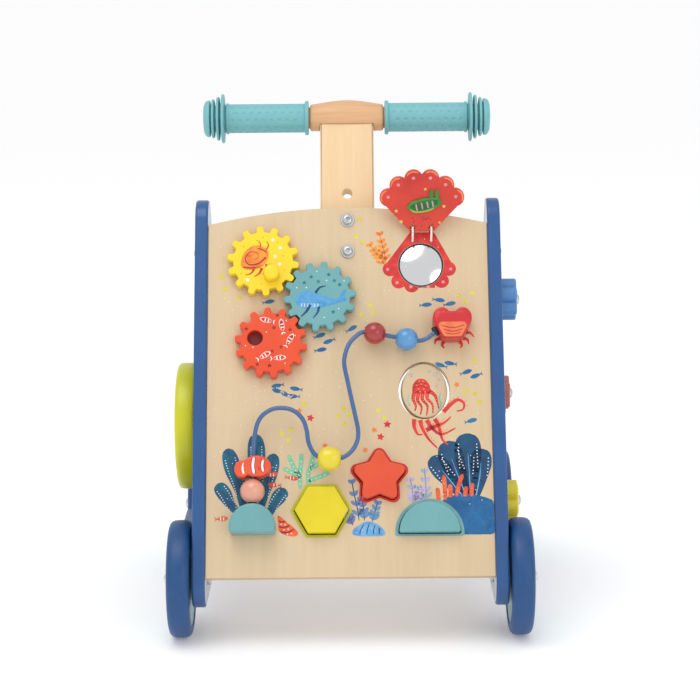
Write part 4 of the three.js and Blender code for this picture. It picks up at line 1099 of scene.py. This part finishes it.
def side_bolt(name, place, radius, thick, node):
    outside = 0.5 + thick + 0.3
    bolt = turned(name, [
        (0, -15.3), (radius + 1.8, -15.3), (radius + 2.4, -14.8), (radius + 2.4, -12.3), (radius, -12.3), (radius, outside),
        (radius + 2.5, outside), (radius + 2.6, outside + 0.5), (radius + 2.1, outside + 1.7), (radius + 0.6, outside + 2.7),
        (1.8, outside + 3), (1.6, outside + 1.6), (0, outside + 1.5),
    ], 48)
    fit(bolt, place, "zinc", "frame", "steel", node)


side_bolt("side_drum_bolt_steel", drum_place, 4, 17.5, "side_drum_bolt")


def petals(count, radius, dip):
    points = []
    for index in range(count * 24):
        angle = 2 * math.pi * index / (count * 24)
        reach = radius - dip * (1 - abs(math.cos(count * angle / 2)))
        points.append((reach * math.cos(angle), reach * math.sin(angle)))
    return points


charms = {
    "blue": (petals(6, 19.5, 5), "charm_blue", "sky_paint"),
    "pink": (star_outline(22.5, 12, 5), "charm_pink", "pink_paint"),
    "yellow": (petals(5, 19.5, 6), "charm_yellow", "yellow_paint"),
}
for name, (outline, look, slot) in charms.items():
    place = station(1, *joints[f"{name}_charm_spin"]["pos_m"][1:])
    charm = cut_out(f"side_charm_{name}_wood", [outline, circle(3, sides=32)], 0.5, 15.5, 1.6, 5)
    fit(charm, place, look, f"{name}_charm", slot, f"side_charm_{name}")
    side_bolt(f"side_charm_bolt_{name}_steel", place, 2.5, 15, f"side_charm_bolt_{name}")

# ---- sill rails and cross brace ----
for name in ("left_sill_rail", "right_sill_rail", "lower_brace"):
    low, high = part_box(name)
    size = (high - low) * 1000
    block = soft_block(f"{name}_wood", size, (0, 0, 0), 2.0)
    place = Matrix.Translation((low + high) / 2) @ Matrix.Scale(0.001, 4)
    fit(block, place, "beech" if name == "lower_brace" else "blue_paint", "frame", "birch" if name == "lower_brace" else "blue_paint", name)

# ---- screws that hold the board and the brace between the panels ----
for side, word in ((-1, "left"), (1, "right")):
    spots = [(board @ Vector((0, up, -6))).yz for up in (34, 150, 300)]
    spots.append(Vector((middle("lower_brace").y, middle("lower_brace").z)))
    for index, spot in enumerate(spots):
        screw = turned("screw", [(0, 0.2), (1.2, 0.2), (1.4, 0.75), (2.7, 0.65), (3.3, 0.3), (3.5, 0.02), (0, 0.02)], 32)
        fit(screw, station(side, *spot), "dark_steel", "frame", "steel").name = f"panel_screw_{word}_{index + 1}"

# ---- prints: thin films of ink on the wood, one of them a painted highlight on the shell flap ----
inks = {
    "leaf_ink": ink("leaf_ink", (0, 108, 134), (0, 72, 108)),
    "weed_ink": ink("weed_ink", (96, 150, 186), (104, 108, 176)),
    "lilac_ink": ink("lilac_ink", (196, 176, 214), (120, 160, 178)),
    "mint_ink": ink("mint_ink", (142, 204, 164), (110, 184, 150)),
    "deep_ink": ink("deep_ink", (0, 76, 116), (0, 52, 92)),
    "rock_ink": ink("rock_ink", (20, 104, 160), (0, 82, 136)),
    "sky_ink": ink("sky_ink", (120, 178, 222), (84, 146, 204)),
    "tube_ink": ink("tube_ink", (238, 106, 56), (206, 66, 46)),
    "amber_ink": ink("amber_ink", (242, 156, 46), (222, 96, 42)),
    "red_ink": ink("red_ink", (226, 58, 46), (190, 30, 36)),
    "dark_red_ink": ink("dark_red_ink", (168, 26, 34), (132, 14, 26)),
    "rose_ink": ink("rose_ink", (232, 150, 158), (222, 128, 140)),
    "peach_ink": ink("peach_ink", (255, 142, 88), (246, 112, 68)),
    "yellow_ink": ink("yellow_ink", (222, 214, 70), (206, 190, 50)),
    "gold_ink": ink("gold_ink", (214, 184, 62), (226, 204, 96)),
    "orange_ink": ink("orange_ink", (238, 138, 52), (226, 112, 44)),
    "white_ink": ink("white_ink", (246, 244, 236), (232, 230, 224)),
    "fish_ink": ink("fish_ink", (36, 120, 162), (20, 92, 144)),
    "dark_ink": ink("dark_ink", (40, 54, 84), (24, 36, 62)),
    "whale_ink": ink("whale_ink", (92, 164, 210), (52, 138, 194)),
    "teal_ink": ink("teal_ink", (44, 130, 140), (30, 108, 122)),
    "olive_ink": ink("olive_ink", (186, 190, 70), (150, 168, 56)),
    "pine_ink": ink("pine_ink", (0, 118, 54), (0, 90, 46)),
    "hexagon_ink": ink("hexagon_ink", (196, 196, 20), (176, 178, 8)),
    "star_ink": ink("star_ink", (214, 46, 28), (194, 34, 26)),
    "moon_ink": ink("moon_ink", (118, 172, 170), (104, 160, 162)),
}
looks.update(inks)
FILM = 0.05


def printed(name, outlines, look, place=board, body="frame", slot="birch", level=1, height=0.0, apart=False):
    """Outlines printed on a face at this height; those that may cross are made apart and joined."""
    low = height + 0.02 + FILM * (level - 1)
    if apart:
        film = joined(name, [cut_out(name, [outline], low, low + FILM) for outline in outlines])
    else:
        film = cut_out(name, outlines, low, low + FILM)
    return fit(film, place, look, body, slot)


def dots(places, radius=0.55, sides=10):
    return [circle(radius, x, y, sides) for x, y in places]


def beside(points, offset, pitch=2.6, start=0.15, end=0.95):
    """Places spaced evenly along a smooth line, set off to its left."""
    line = [Vector(point) for point in flow(points)]
    lengths = [0.0]
    for a, b in zip(line, line[1:]):
        lengths.append(lengths[-1] + (b - a).length)
    places, reach = [], lengths[-1] * start
    while reach < lengths[-1] * end:
        index = max(i for i in range(len(line) - 1) if lengths[i] <= reach)
        share = (reach - lengths[index]) / max(1e-6, lengths[index + 1] - lengths[index])
        ahead = (line[index + 1] - line[index]).normalized()
        places.append(tuple(line[index].lerp(line[index + 1], share) + Vector((-ahead.y, ahead.x)) * offset))
        reach += pitch
    return places


def veins(points, width, count, lean=40, side_length=None):
    """Short strokes on both sides of a stem."""
    line = [Vector(point) for point in flow(points)]
    strokes = []
    for index in range(count):
        at = int((0.2 + 0.75 * index / max(1, count - 1)) * (len(line) - 2))
        ahead = (line[at + 1] - line[at]).normalized()
        length = (side_length or 5) * (1 - 0.45 * index / count)
        for sign in (-1, 1):
            turn = Matrix.Rotation(math.radians(lean * sign), 2)
            tip = line[at] + (turn @ ahead) * length
            strokes.append(brush([tuple(line[at]), tuple(line[at].lerp(tip, 0.55)), tuple(tip)], width, "leaf"))
    return strokes


# seaweed with dashed white edges behind the dome
WEEDS = [
    ([(-94, 60), (-97, 78), (-104, 98), (-109, 116)], 15), ([(-86, 62), (-85, 84), (-83, 108), (-84, 129)], 16),
    ([(-79, 61), (-76, 76), (-71, 94), (-67, 111)], 14), ([(-99, 57), (-106, 66), (-112, 76), (-118, 84)], 13),
    ([(-72, 55), (-68, 64), (-63, 72), (-57, 79)], 13),
]
printed("print_seaweed", [brush(line, width, "club") for line, width in WEEDS], "leaf_ink", level=1, apart=True)
edge_marks = []
for line, width in WEEDS:
    edge_marks += beside(line, width * 0.3, 2.4, 0.25, 0.85) + beside(line, -width * 0.3, 2.4, 0.25, 0.85)
printed("print_seaweed_marks", dots(edge_marks, 0.5), "white_ink", level=3)
printed("print_seaweed_ribs", [brush(line, 1.1, "tip") for line, _ in WEEDS], "deep_ink", level=2, apart=True)

# conch beside the dome
printed("print_conch", [flow([
    (-64, 55), (-60.5, 53.5), (-57, 50), (-51, 45.5), (-46, 39.5), (-49, 36.5), (-56, 37.5), (-62.5, 41), (-63.5, 48),
], True)], "tube_ink", level=2)
printed("print_conch_bands", [
    brush([(-63.6, 50.5), (-60.5, 49.5), (-57, 50.2)], 1.3), brush([(-63.2, 45.5), (-58.5, 44.6), (-53.2, 46.4)], 1.4),
    brush([(-61.4, 40.8), (-55.5, 40), (-49.5, 43)], 1.5),
], "dark_red_ink", level=3)
printed("print_conch_dots", dots([(-60.8, 47.4), (-57.4, 47), (-58.6, 42.4), (-54.8, 43), (-52, 39.2), (-55.6, 38.6)], 0.6), "white_ink", level=3)

# pale green coral behind the hexagon, and its twin by the star
MINT = [
    [(-44, 79), (-45, 90), (-50, 99), (-53.7, 108)], [(-45, 88), (-43.5, 99), (-43, 109)], [(-36, 79.8), (-37, 92), (-34, 101), (-32.3, 109)],
    [(-36.6, 86), (-29, 89), (-23.6, 91), (-19.9, 93)], [(-46.4, 92), (-52, 94), (-57, 97)], [(-35.4, 97), (-28.6, 101), (-25, 105)],
]
printed("print_green_coral", [brush(line, 4.4) for line in MINT], "mint_ink", level=1, apart=True)
printed("print_green_coral_tips", dots([line[-1] for line in MINT], 2.2, 16), "mint_ink", level=2)
printed("print_green_coral_dots", dots([p for line in MINT for p in beside(line, 0, 4.2, 0.15, 0.9)], 0.5), "white_ink", level=3)

# orange branches beside the shell
BRANCHES = [[(34.2, 286.7), (33.6, 297), (31, 307), (29.1, 317)], [(34.2, 284), (30, 292), (24.6, 299), (19.8, 306)]]
printed("print_branches", [brush(line, 1.1) for line in BRANCHES], "orange_ink", level=1, apart=True)
leaves = []
for line in BRANCHES:
    leaves += veins(line, 3.2, 5, 48, 7)
printed("print_branch_leaves", leaves, "amber_ink", level=1, apart=True)

# big coral, rock and tube corals at the right
FANS = [
    ([(101, 70), (92, 82), (82, 95), (73, 107)], 18), ([(103, 72), (97, 88), (91, 105), (87, 121)], 22),
    ([(107, 72), (106.4, 92), (105.6, 110), (105.5, 128)], 24), ([(112, 72), (115.5, 88), (117, 101), (117.4, 114)], 19),
]
printed("print_big_coral", [brush(line, width, "club") for line, width in FANS], "deep_ink", level=1, apart=True)
printed("print_coral_ribs", [brush(line[:3], 1.3, "tip") for line, _ in FANS], "sky_ink", level=2, apart=True)
coral_marks = [p for line, width in FANS for off in (-0.34, 0.34) for p in beside(line, width * off, 3, 0.45, 0.85)]
printed("print_coral_marks", dots([p for p in coral_marks if p[0] < 125], 0.55), "white_ink", level=3, apart=True)
printed("print_rock", [flow([
    (81, 64), (84, 69), (91, 72), (103, 73), (115, 71.5), (123, 69), (127.2, 65.5), (127.3, 52), (127.2, 38.5), (118, 37),
    (105, 37), (99.2, 37.6), (98.6, 44), (96, 52), (90, 58),
], True, 4)], "rock_ink", level=2)
TUBES = [
    [(78.8, 66), (78.4, 73), (77.7, 79)], [(84.6, 68), (84.4, 80), (83.3, 90.5)], [(89.1, 70), (89.4, 76), (88.9, 82)],
    [(94.4, 71), (96.6, 80), (98.4, 86), (100.4, 91)], [(107.8, 71), (108.2, 77), (108.9, 83)], [(102, 71), (102.8, 76), (103.4, 80)],
]
printed("print_tube_corals", [brush(line, 3.8) for line in TUBES], "tube_ink", level=3, apart=True)
printed("print_tube_dots", dots([p for line in TUBES for p in beside(line, 0, 3, 0.1, 0.75)], 0.5), "peach_ink", level=4)

# leafy plants and a spiral shell along the foot of the board
LILAC = [[(56.2, 64), (55.6, 76), (53.6, 88)], [(67.8, 66), (67.4, 82), (66.5, 97)], [(61, 64), (61.4, 72), (60.4, 80)]]
printed("print_lilac_stems", [brush(line, 0.9) for line in LILAC], "weed_ink", level=1)
printed("print_lilac_leaves", [stroke for line in LILAC for stroke in veins(line, 3.4, 4, 46, 7)], "lilac_ink", level=2, apart=True)
PURPLE = [
    [(8, 50), (6.4, 62), (3.6, 75), (1.7, 87)], [(12.6, 50), (12, 61), (9.6, 71)], [(19.4, 49), (22, 58), (24.8, 67)], [(2.6, 46), (-1, 54), (-3.4, 61)],
]
printed("print_purple_stems", [brush(line, 1.0) for line in PURPLE], "deep_ink", level=1, apart=True)
printed("print_purple_leaves", [stroke for line in PURPLE for stroke in veins(line, 3.5, 4, 44, 7)], "weed_ink", level=2, apart=True)
printed("print_spiral_shell", [flow([
    (2.2, 38), (3, 42.5), (8, 46), (14, 49), (21, 48.2), (27, 44.5), (31, 39.5), (29, 36.6), (20, 36.3), (10, 36.2),
], True)], "sky_ink", level=3)
printed("print_spiral_lines", [
    brush([(8.4, 38), (9.4, 42), (12, 46.5)], 0.9), brush([(14.6, 37.6), (15.2, 42), (17, 47.4)], 0.9),
    brush([(20.8, 37.6), (20.8, 42), (22, 46)], 0.9), brush([(26, 37.8), (25.6, 40.6), (26, 43.4)], 0.9),
], "deep_ink", level=4)

# small fish and stars
printed("print_small_fish", [little_fish(x, y, 12, turn) for x, y, turn in (
    (-72.6, 251.6, 10), (-63.5, 168.5, 165), (-56.4, 165.2, 150), (-47.3, 170.4, 170), (-26.4, 219.3, 20), (-17.4, 214.5, 200),
    (-25.6, 206.1, 10), (2.6, 225.5, 30), (70.1, 247.5, 5), (91.9, 248.2, 12), (82, 252, -8), (92, 192.7, 170), (105.4, 184.2, 20),
    (114.9, 181.3, 200), (108.8, 139.4, 15), (-64, 173.6, 190), (-49.6, 163.6, 175), (83.6, 191, 160),
)], "fish_ink", level=1)
printed("print_striped_fish", [little_fish(x, y, 12.5, turn) for x, y, turn in (
    (-69.7, 91.8, 12), (-51.9, 88.9, -10), (-66.7, 82.8, 175), (-113.9, 52.7, 5),
)], "tube_ink", level=4)
printed("print_fish_stripes", [
    brush([(x - 0.9, y - 1.5), (x - 0.7, y), (x - 0.9, y + 1.5)], 0.9) for x, y in ((-69.7, 91.8), (-51.9, 88.9), (-66.7, 82.8), (-113.9, 52.7))
] + [brush([(x + 1.9, y - 1.3), (x + 2.0, y), (x + 1.9, y + 1.3)], 0.8) for x, y in ((-69.7, 91.8), (-51.9, 88.9), (-66.7, 82.8), (-113.9, 52.7))], "white_ink", level=5)
YELLOW_STARS = (
    (-111.8, 264.2), (-115.5, 275.7), (-99, 255.6), (-60.8, 129.9), (-52.6, 132.7), (-54.6, 123.4), (-40.2, 156.3), (-10.6, 145),
    (-5.2, 151.8), (0.4, 146.7), (-4.4, 137.6), (100.2, 255.7), (113.1, 258.5), (106.5, 249.9), (10.9, 330), (7.9, 313.7), (13.5, 307.9),
    (113, 195.1), (104.6, 166.1), (112.8, 164.6), (117.1, 156.7), (20.1, 248), (22.8, 240.3), (11.8, 238.6), (60.4, 211.9), (-3.4, 200.8),
    (31.5, 142.8), (26, 150),
)
printed("print_yellow_stars", [little_star(x, y, 3.3, dice.uniform(0, 72)) for x, y in YELLOW_STARS], "yellow_ink", level=1)
printed("print_orange_stars", [little_star(x, y, 3.3, dice.uniform(0, 72)) for x, y in (
    (-44.7, 149.9), (22.4, 131.9), (14.1, 113.7), (-22, 118), (97, 173),
)], "orange_ink", level=1)
printed("print_red_stars", [little_star(x, y, 4, dice.uniform(0, 72)) for x, y in ((-34.8, 143.4), (27.9, 125.6), (34, 137))], "red_ink", level=1)
specks = []
while len(specks) < 150:
    x, y = dice.uniform(-122, 122), dice.uniform(34, 318)
    busy = [(GEARS[name].x, GEARS[name].y, 36) for name in GEARS] + [(WINDOW.x, WINDOW.y, 30), (*HEXAGON, 29), (*STAR, 31), (*MOON, 30)]
    if all(math.hypot(x - bx, y - by) > reach for bx, by, reach in busy):
        specks.append((x, y))
printed("print_specks", dots(specks, 0.42, 8), "white_ink", level=6, apart=True)

# borders round the three sockets
printed("print_hexagon_border", [moved(hexagon_outline(27.4), HEXAGON), moved(hexagon_outline(24.9), HEXAGON)], "hexagon_ink", level=5)
printed("print_star_border", [moved(star_outline(31.9, 18.4, 6), STAR), moved(star_outline(29.1, 16.5, 5.2), STAR)], "star_ink", level=5)
printed("print_moon_border", [moved(moon_outline(30.6, 2.6), MOON), moved(moon_outline(28, 0.9), MOON)], "moon_ink", level=5)

# crab's legs, drawn round its block
LEGS = [
    [(82, 221), (77, 221), (73, 217)], [(83, 216), (79, 214.5), (78, 210.5)], [(86, 213), (84.6, 209.6), (86.5, 206.8)],
    [(105, 221), (110, 221), (113.6, 217)], [(103.6, 216), (107.6, 214.5), (108.6, 210.5)], [(100.6, 213), (102.4, 209.6), (100.8, 206.8)],
]
printed("print_crab_legs", [brush(line, 3.8, "tip") for line in LEGS], "red_ink", level=1, apart=True)
belly_print = rounded([(-7.6, -13, 3), (7.6, -13, 3), (13.8, -1.6, 4), (10.4, 0.6, 2), (-10.4, 0.6, 2), (-13.8, -1.6, 4)])
printed("print_crab_belly", [belly_print], "belly", board_at(*CRAB), slot="red_paint", height=20)
printed("print_crab_lines", [
    brush([(-10.6, -2.4), (0, -5), (10.6, -2.4)], 0.7), brush([(-9, -6), (0, -8.4), (9, -6)], 0.7), brush([(-7.4, -9.2), (0, -11), (7.4, -9.2)], 0.6),
], "dark_red_ink", board_at(*CRAB), slot="red_paint", level=2, height=20)
printed("print_crab_spots", dots([(-11, 8), (-8, 10), (-6.6, 7), (11, 8), (8, 10), (6.6, 7)], 0.7), "rose_ink", board_at(*CRAB), slot="red_paint", height=19.4)

# jellyfish: bell and arms on the turning disc, more arms on the board below it
ARMS = [
    [(58.2, 141.6), (58, 135), (61, 128), (65.6, 127.4)], [(63.6, 140.6), (65, 134), (70.5, 123.6), (80, 113.4)],
    [(69.3, 140.6), (74.3, 133), (82.5, 127.4), (95, 133)], [(76.5, 141.6), (80, 135), (83, 123), (88, 118)],
    [(84.4, 147.9), (90.7, 154.4), (97.6, 158.9), (103, 155.7), (102, 150), (96.6, 148.6)], [(68.7, 131.3), (76.8, 134.8), (85, 138), (91, 143.5)],
]
printed("print_arms", [brush(line, 4.2, "tip") for line in ARMS], "red_ink", level=2, apart=True)
printed("print_arm_dots", dots([p for line in ARMS for p in beside(line, 2.6, 2.8, 0.1, 0.8)], 0.5), "tube_ink", level=1, apart=True)
DISC_FACE = dict(place=DISC, body="flip_disc", slot="birch", height=4.25)
printed("print_bell", [flow([
    (-11.5, -1), (-11, 5), (-7.5, 9.6), (-3.4, 11), (1, 9.6), (4.4, 5), (5, -1), (2.6, -2.4), (0.2, -0.6), (-2, -2.6), (-4.6, -0.6),
    (-7, -2.6), (-9.2, -0.8),
], True)], "red_ink", **DISC_FACE)
DISC_ARMS = [
    [(-9.4, -1), (-11, -8), (-8.6, -14), (-9.6, -19)], [(-5.4, -1), (-7, -9), (-3.4, -15), (-4.6, -22.4)], [(-1.4, -1), (-2.6, -8), (2, -14), (1, -22.8)],
    [(2.6, -1), (2, -7), (6.6, -12.6), (7, -20.6)], [(4, 0), (9, -4), (11, -9.6), (12.4, -16)],
]
printed("print_disc_arms", [brush(line, 4, "tip") for line in DISC_ARMS], "red_ink", apart=True, **DISC_FACE)
printed("print_disc_arm_dots", dots([p for line in DISC_ARMS for p in beside(line, 0, 2.6, 0.15, 0.9)], 0.5), "peach_ink", level=3, **DISC_FACE)
printed("print_bell_bands", [
    brush([(-9.8, 2.6), (-3.4, 4.2), (3.2, 2.6)], 0.8), brush([(-8.2, 6.2), (-3.4, 7.4), (1.6, 6.2)], 0.8),
], "dark_red_ink", level=2, **DISC_FACE)
printed("print_bell_spots", dots([(-7.6, 4.6), (-3.4, 5.9), (0.8, 4.6), (-5.2, 8.4), (-1.6, 8.4), (-5.8, 1.4), (-1, 1.4)], 0.7), "peach_ink", level=3, **DISC_FACE)
rings = [(9.6, 15.4, 2), (13, 10.4, 1.3), (-12.6, 14, 1.5), (10.6, 4.6, 1.1), (4.4, 17.8, 1.2)]
for index, (x, y, radius) in enumerate(rings):
    printed(f"print_bubble_{index + 1}", [circle(radius, x, y, 24), circle(radius - 0.4, x, y, 24)], "sky_ink", **DISC_FACE)
printed("print_disc_weed", [brush([(12, -18), (14.4, -12), (13, -6), (15, -1)], 1.6, "leaf"), brush([(-14, -15), (-16, -9), (-14.6, -4)], 1.5, "leaf")], "mint_ink", **DISC_FACE)

# printed shell round the mirror
lower_lobes = [(92.7, 281.5), (85.8, 269.7), (72.7, 265.6), (57.6, 265.6), (45.5, 269.5), (37.5, 281.6)]
drawn_in = [(MIRROR.x + (x - MIRROR.x) * 0.965, MIRROR.y + (y - MIRROR.y) * 0.965) for x, y in lower_lobes]
shell_print = shell_outline(drawn_in[::-1], 6.8, [(80.2, 314.6), (78.6, 316.4), (57.2, 316.4), (55.6, 314.6)])
printed("print_shell", [shell_print, circle(20.9, *MIRROR, 64)], "red_ink", level=2)
printed("print_shell_spots", dots([(x + (x - MIRROR.x) * 0.08, y + (y - MIRROR.y) * 0.08) for x, y in drawn_in], 1.5, 20), "rose_ink", level=4)

# the flap's own print, a painted highlight along its top edge, the slug and its stars
LEAF_FACE = dict(place=LEAF, body="shell", slot="red_paint", height=2.5)
printed("print_flap_mottle", dots([(dice.uniform(-10, 10), dice.uniform(8, 17)) for _ in range(16)], 0.6), "dark_red_ink", apart=True, **LEAF_FACE)
# a peach band round the outer rims of the lobes, all along the flap's top edge: painted highlight where the top light
# catches the edge
rim_highlight = [[(x + 6.9 * math.cos(a), y + 6.9 * math.sin(a)) for a in (math.atan2(y - 22, x) + math.radians(t) for t in range(-52, 53, 13))] for x, y in lobes]
printed("flap_top_edge_highlight", [brush(line, 1.5) for line in rim_highlight], "peach_ink", level=2, **LEAF_FACE)
printed("print_flap_spots", dots([(x * 1.02, y * 1.02) for x, y in lobes], 1.5, 20), "rose_ink", level=2, **LEAF_FACE)
printed("print_flap_stars", [little_star(x, y, r) for x, y, r in ((-19, 12, 2.2), (-23.5, 22, 1.9), (20, 26, 2.0), (16, 11, 1.6), (3, 42, 1.7))], "gold_ink", level=2, **LEAF_FACE)
SLUG_FACE = dict(place=LEAF, body="shell", slot="green_felt", height=5.2)
printed("print_slug_back", [flow([(-11, 26.4), (-5, 22.6), (6, 24.6), (14, 29), (13, 32.6), (2, 31.8), (-7, 29.2)], True)], "pine_ink", **SLUG_FACE)
printed("print_slug_edge", [brush([(-11, 23.8), (-6, 21.4), (4, 22.2), (11, 25.2)], 1.2)], "olive_ink", **SLUG_FACE)
printed("print_slug_bands", [brush([(x + 0.6, 23.8 + x * 0.25), (x, 27 + x * 0.25), (x - 0.6, 30 + x * 0.2)], 1.2) for x in (-5, 0, 5, 9.6)], "rose_ink", level=2, apart=True, **SLUG_FACE)
slug_feelers = joined("slug_feelers", [cut_out("feeler", [ellipse(1.7, 5, 11 + side * 2.6, 37, 32)], 2.8, 4.9, 0.7, 2) for side in (-1, 1)])
fit(slug_feelers, LEAF, "felt", "shell", "green_felt")

# stripes and fins on the fish bead
FISH_FACE = dict(place=FISH, body="fish", slot="orange_paint", height=9)
printed("print_fish_bands", [
    brush([(9.6, -5.4), (8.6, 0), (9.6, 5.2)], 2.0), brush([(1.4, -7.2), (0.4, 0), (1.4, 7.2)], 2.4),
], "white_ink", **FISH_FACE)
printed("print_fish_tail_band", [brush([(-7.6, -7.4), (-8.6, -2.2), (-7.6, 2.6)], 1.7)], "white_ink", place=FISH, body="fish", slot="orange_paint", height=8.6)
printed("print_fish_lines", [
    brush([(11, -5), (10, 0), (11, 4.6)], 0.5), brush([(8.1, -5.8), (7.1, 0), (8.1, 5.6)], 0.5), brush([(2.9, -7), (1.9, 0), (2.9, 7)], 0.5),
    brush([(-0.1, -7.2), (-1.2, 0), (-0.1, 7.2)], 0.5), brush([(4, -1), (6, -2.4), (5.4, -4)], 0.6),
], "dark_red_ink", level=2, apart=True, **FISH_FACE)

# prints on the three gears
GEAR_FACE = {name: dict(place=board_at(*GEARS[name]), body=f"{name}_gear", slot=f"{name}_paint", height=GEAR_TOP) for name in GEARS}
yellow_face = GEAR_FACE["yellow"]
printed("print_yellow_shell", [flow([
    (-20, -4), (-17.6, 7), (-9.6, 14), (-1, 13.6), (5, 8), (3.6, 0), (-1.6, -6), (-9, -8.4), (-16, -8),
], True)], "amber_ink", **yellow_face)
printed("print_yellow_spiral", [
    brush([(2.6, 3), (-4, -2.6), (-12.6, -3.6), (-16, 2), (-12, 8), (-5.6, 7.6), (-4.4, 3), (-8.4, 1)], 1.3, "tip"),
    brush([(3.6, 7.6), (-1, 10.6), (-5, 11.6)], 1.1), brush([(-18.4, -5.6), (-12, -6.8), (-6, -6.4)], 1.0),
], "dark_red_ink", level=2, apart=True, **yellow_face)
printed("print_yellow_claws", [
    brush([(-1, -7), (-3.4, -12), (-8, -15)], 2.6, "tip"), brush([(-8, -8), (-11, -12), (-16, -13.4)], 2.2, "tip"), brush([(3, -3), (2.6, -9), (-0.4, -13)], 2.0, "tip"),
    brush([(2.6, 10), (5, 14.6), (3, 18.6)], 1.6, "tip"), brush([(-2.6, 12.6), (-2.6, 17), (-6, 19.6)], 1.4, "tip"),
], "red_ink", apart=True, level=2, **yellow_face)
printed("print_yellow_gear_stars", [little_star(x, y, 2.2) for x, y in ((15.7, 12), (11, 4), (15, -3.4), (-14, -18), (9, 19.6))], "white_ink", **yellow_face)
printed("print_yellow_gear_dots", dots([(18.5, 4.3), (6, -2.9), (20, -9), (13, 17.6), (-19.6, -12), (-17.6, 13.4), (0, 22), (-1, -21.6)], 0.6), "orange_ink", **yellow_face)

teal_face = GEAR_FACE["teal"]
printed("print_whale", [flow([
    (-22, -3), (-19, 2.6), (-12, 4.8), (-4, 3.6), (4, 0.4), (11, -2.6), (16.6, -2.2), (19.6, 3), (24, 6.6), (22.8, 1), (24.4, -4.4), (19.4, -5.4),
    (14, -7.4), (6, -9.6), (-3, -11.6), (-13, -11.4), (-19.6, -8.4),
], True)], "whale_ink", **teal_face)
printed("print_whale_belly", [flow([(-21, -5.6), (-14, -6.6), (-5, -7), (3, -7.4), (0, -9.6), (-8, -10.8), (-15, -10.2), (-19, -8.4)], True)], "sky_ink", level=2, **teal_face)
printed("print_whale_fins", [brush([(-9, -8), (-12, -14), (-17, -19)], 3.4, "tip"), brush([(-1, -9.6), (-2, -15), (-6, -20.4)], 2.8, "tip"), brush([(-4, 3), (0, 8), (5.4, 9.4)], 2.6, "tip")], "deep_ink", level=3, apart=True, **teal_face)
printed("print_whale_lines", [brush([(x, -6.8), (x + 0.4, -8.6), (x - 0.4, -10.4)], 0.5) for x in (-17, -14, -11, -5, -2)], "white_ink", level=4, **teal_face)
printed("print_teal_gear_stars", [little_star(x, y, 2.3) for x, y in ((-7.8, 18.1), (8.1, 20.1), (13.2, 14.4), (-14, 12.6), (18, 10.6), (12, -15), (-1.4, 13.6))], "teal_ink", **teal_face)
printed("print_teal_gear_dots", dots([(-2.8, 23.2), (-12.1, 8.1), (6.2, 14.6), (17, -12), (4, -20), (-21, 8), (22, 14)], 0.6), "white_ink", **teal_face)

orange_face = GEAR_FACE["orange"]
SHOAL = [(-3, 20.6, 165), (10.4, 14.7, 100), (16.9, 1.5, 60), (-6.2, -12.7, 30), (6.7, -14.7, 5)]
printed("print_shoal_halo", [little_fish(x, y, 14.4, turn) for x, y, turn in SHOAL], "white_ink", level=1, **orange_face)
printed("print_shoal", [little_fish(x, y, 12, turn) for x, y, turn in SHOAL], "red_ink", level=2, **orange_face)
bands = []
for x, y, turn in SHOAL:
    spin = Matrix.Rotation(math.radians(turn), 2)
    for offset in (1.9, -1.0):
        bands.append(brush([tuple(Vector((x, y)) + spin @ Vector((offset, reach))) for reach in (-1.7, 0, 1.7)], 1.0))
printed("print_shoal_bands", bands, "white_ink", level=3, **orange_face)
printed("print_shoal_eyes", dots([tuple(Vector((x, y)) + Matrix.Rotation(math.radians(turn), 2) @ Vector((3.7, 0.5))) for x, y, turn in SHOAL], 0.42), "dark_ink", level=3, **orange_face)
printed("print_orange_gear_stars", [little_star(x, y, 2.2) for x, y in (
    (6.1, 25), (2.9, 13.5), (17.5, 11.5), (9.3, -4.5), (1.2, -8.4), (-1, -21.6), (-12, -20.4), (-22, 12.6),
)], "dark_red_ink", **orange_face)
printed("print_orange_gear_dots", dots([(-9, 22), (14, 20), (22, 6), (-16, -4.6), (13, -19.6), (-4, 9.4), (10.6, 7.6), (-22.6, -3)], 0.55), "white_ink", **orange_face)
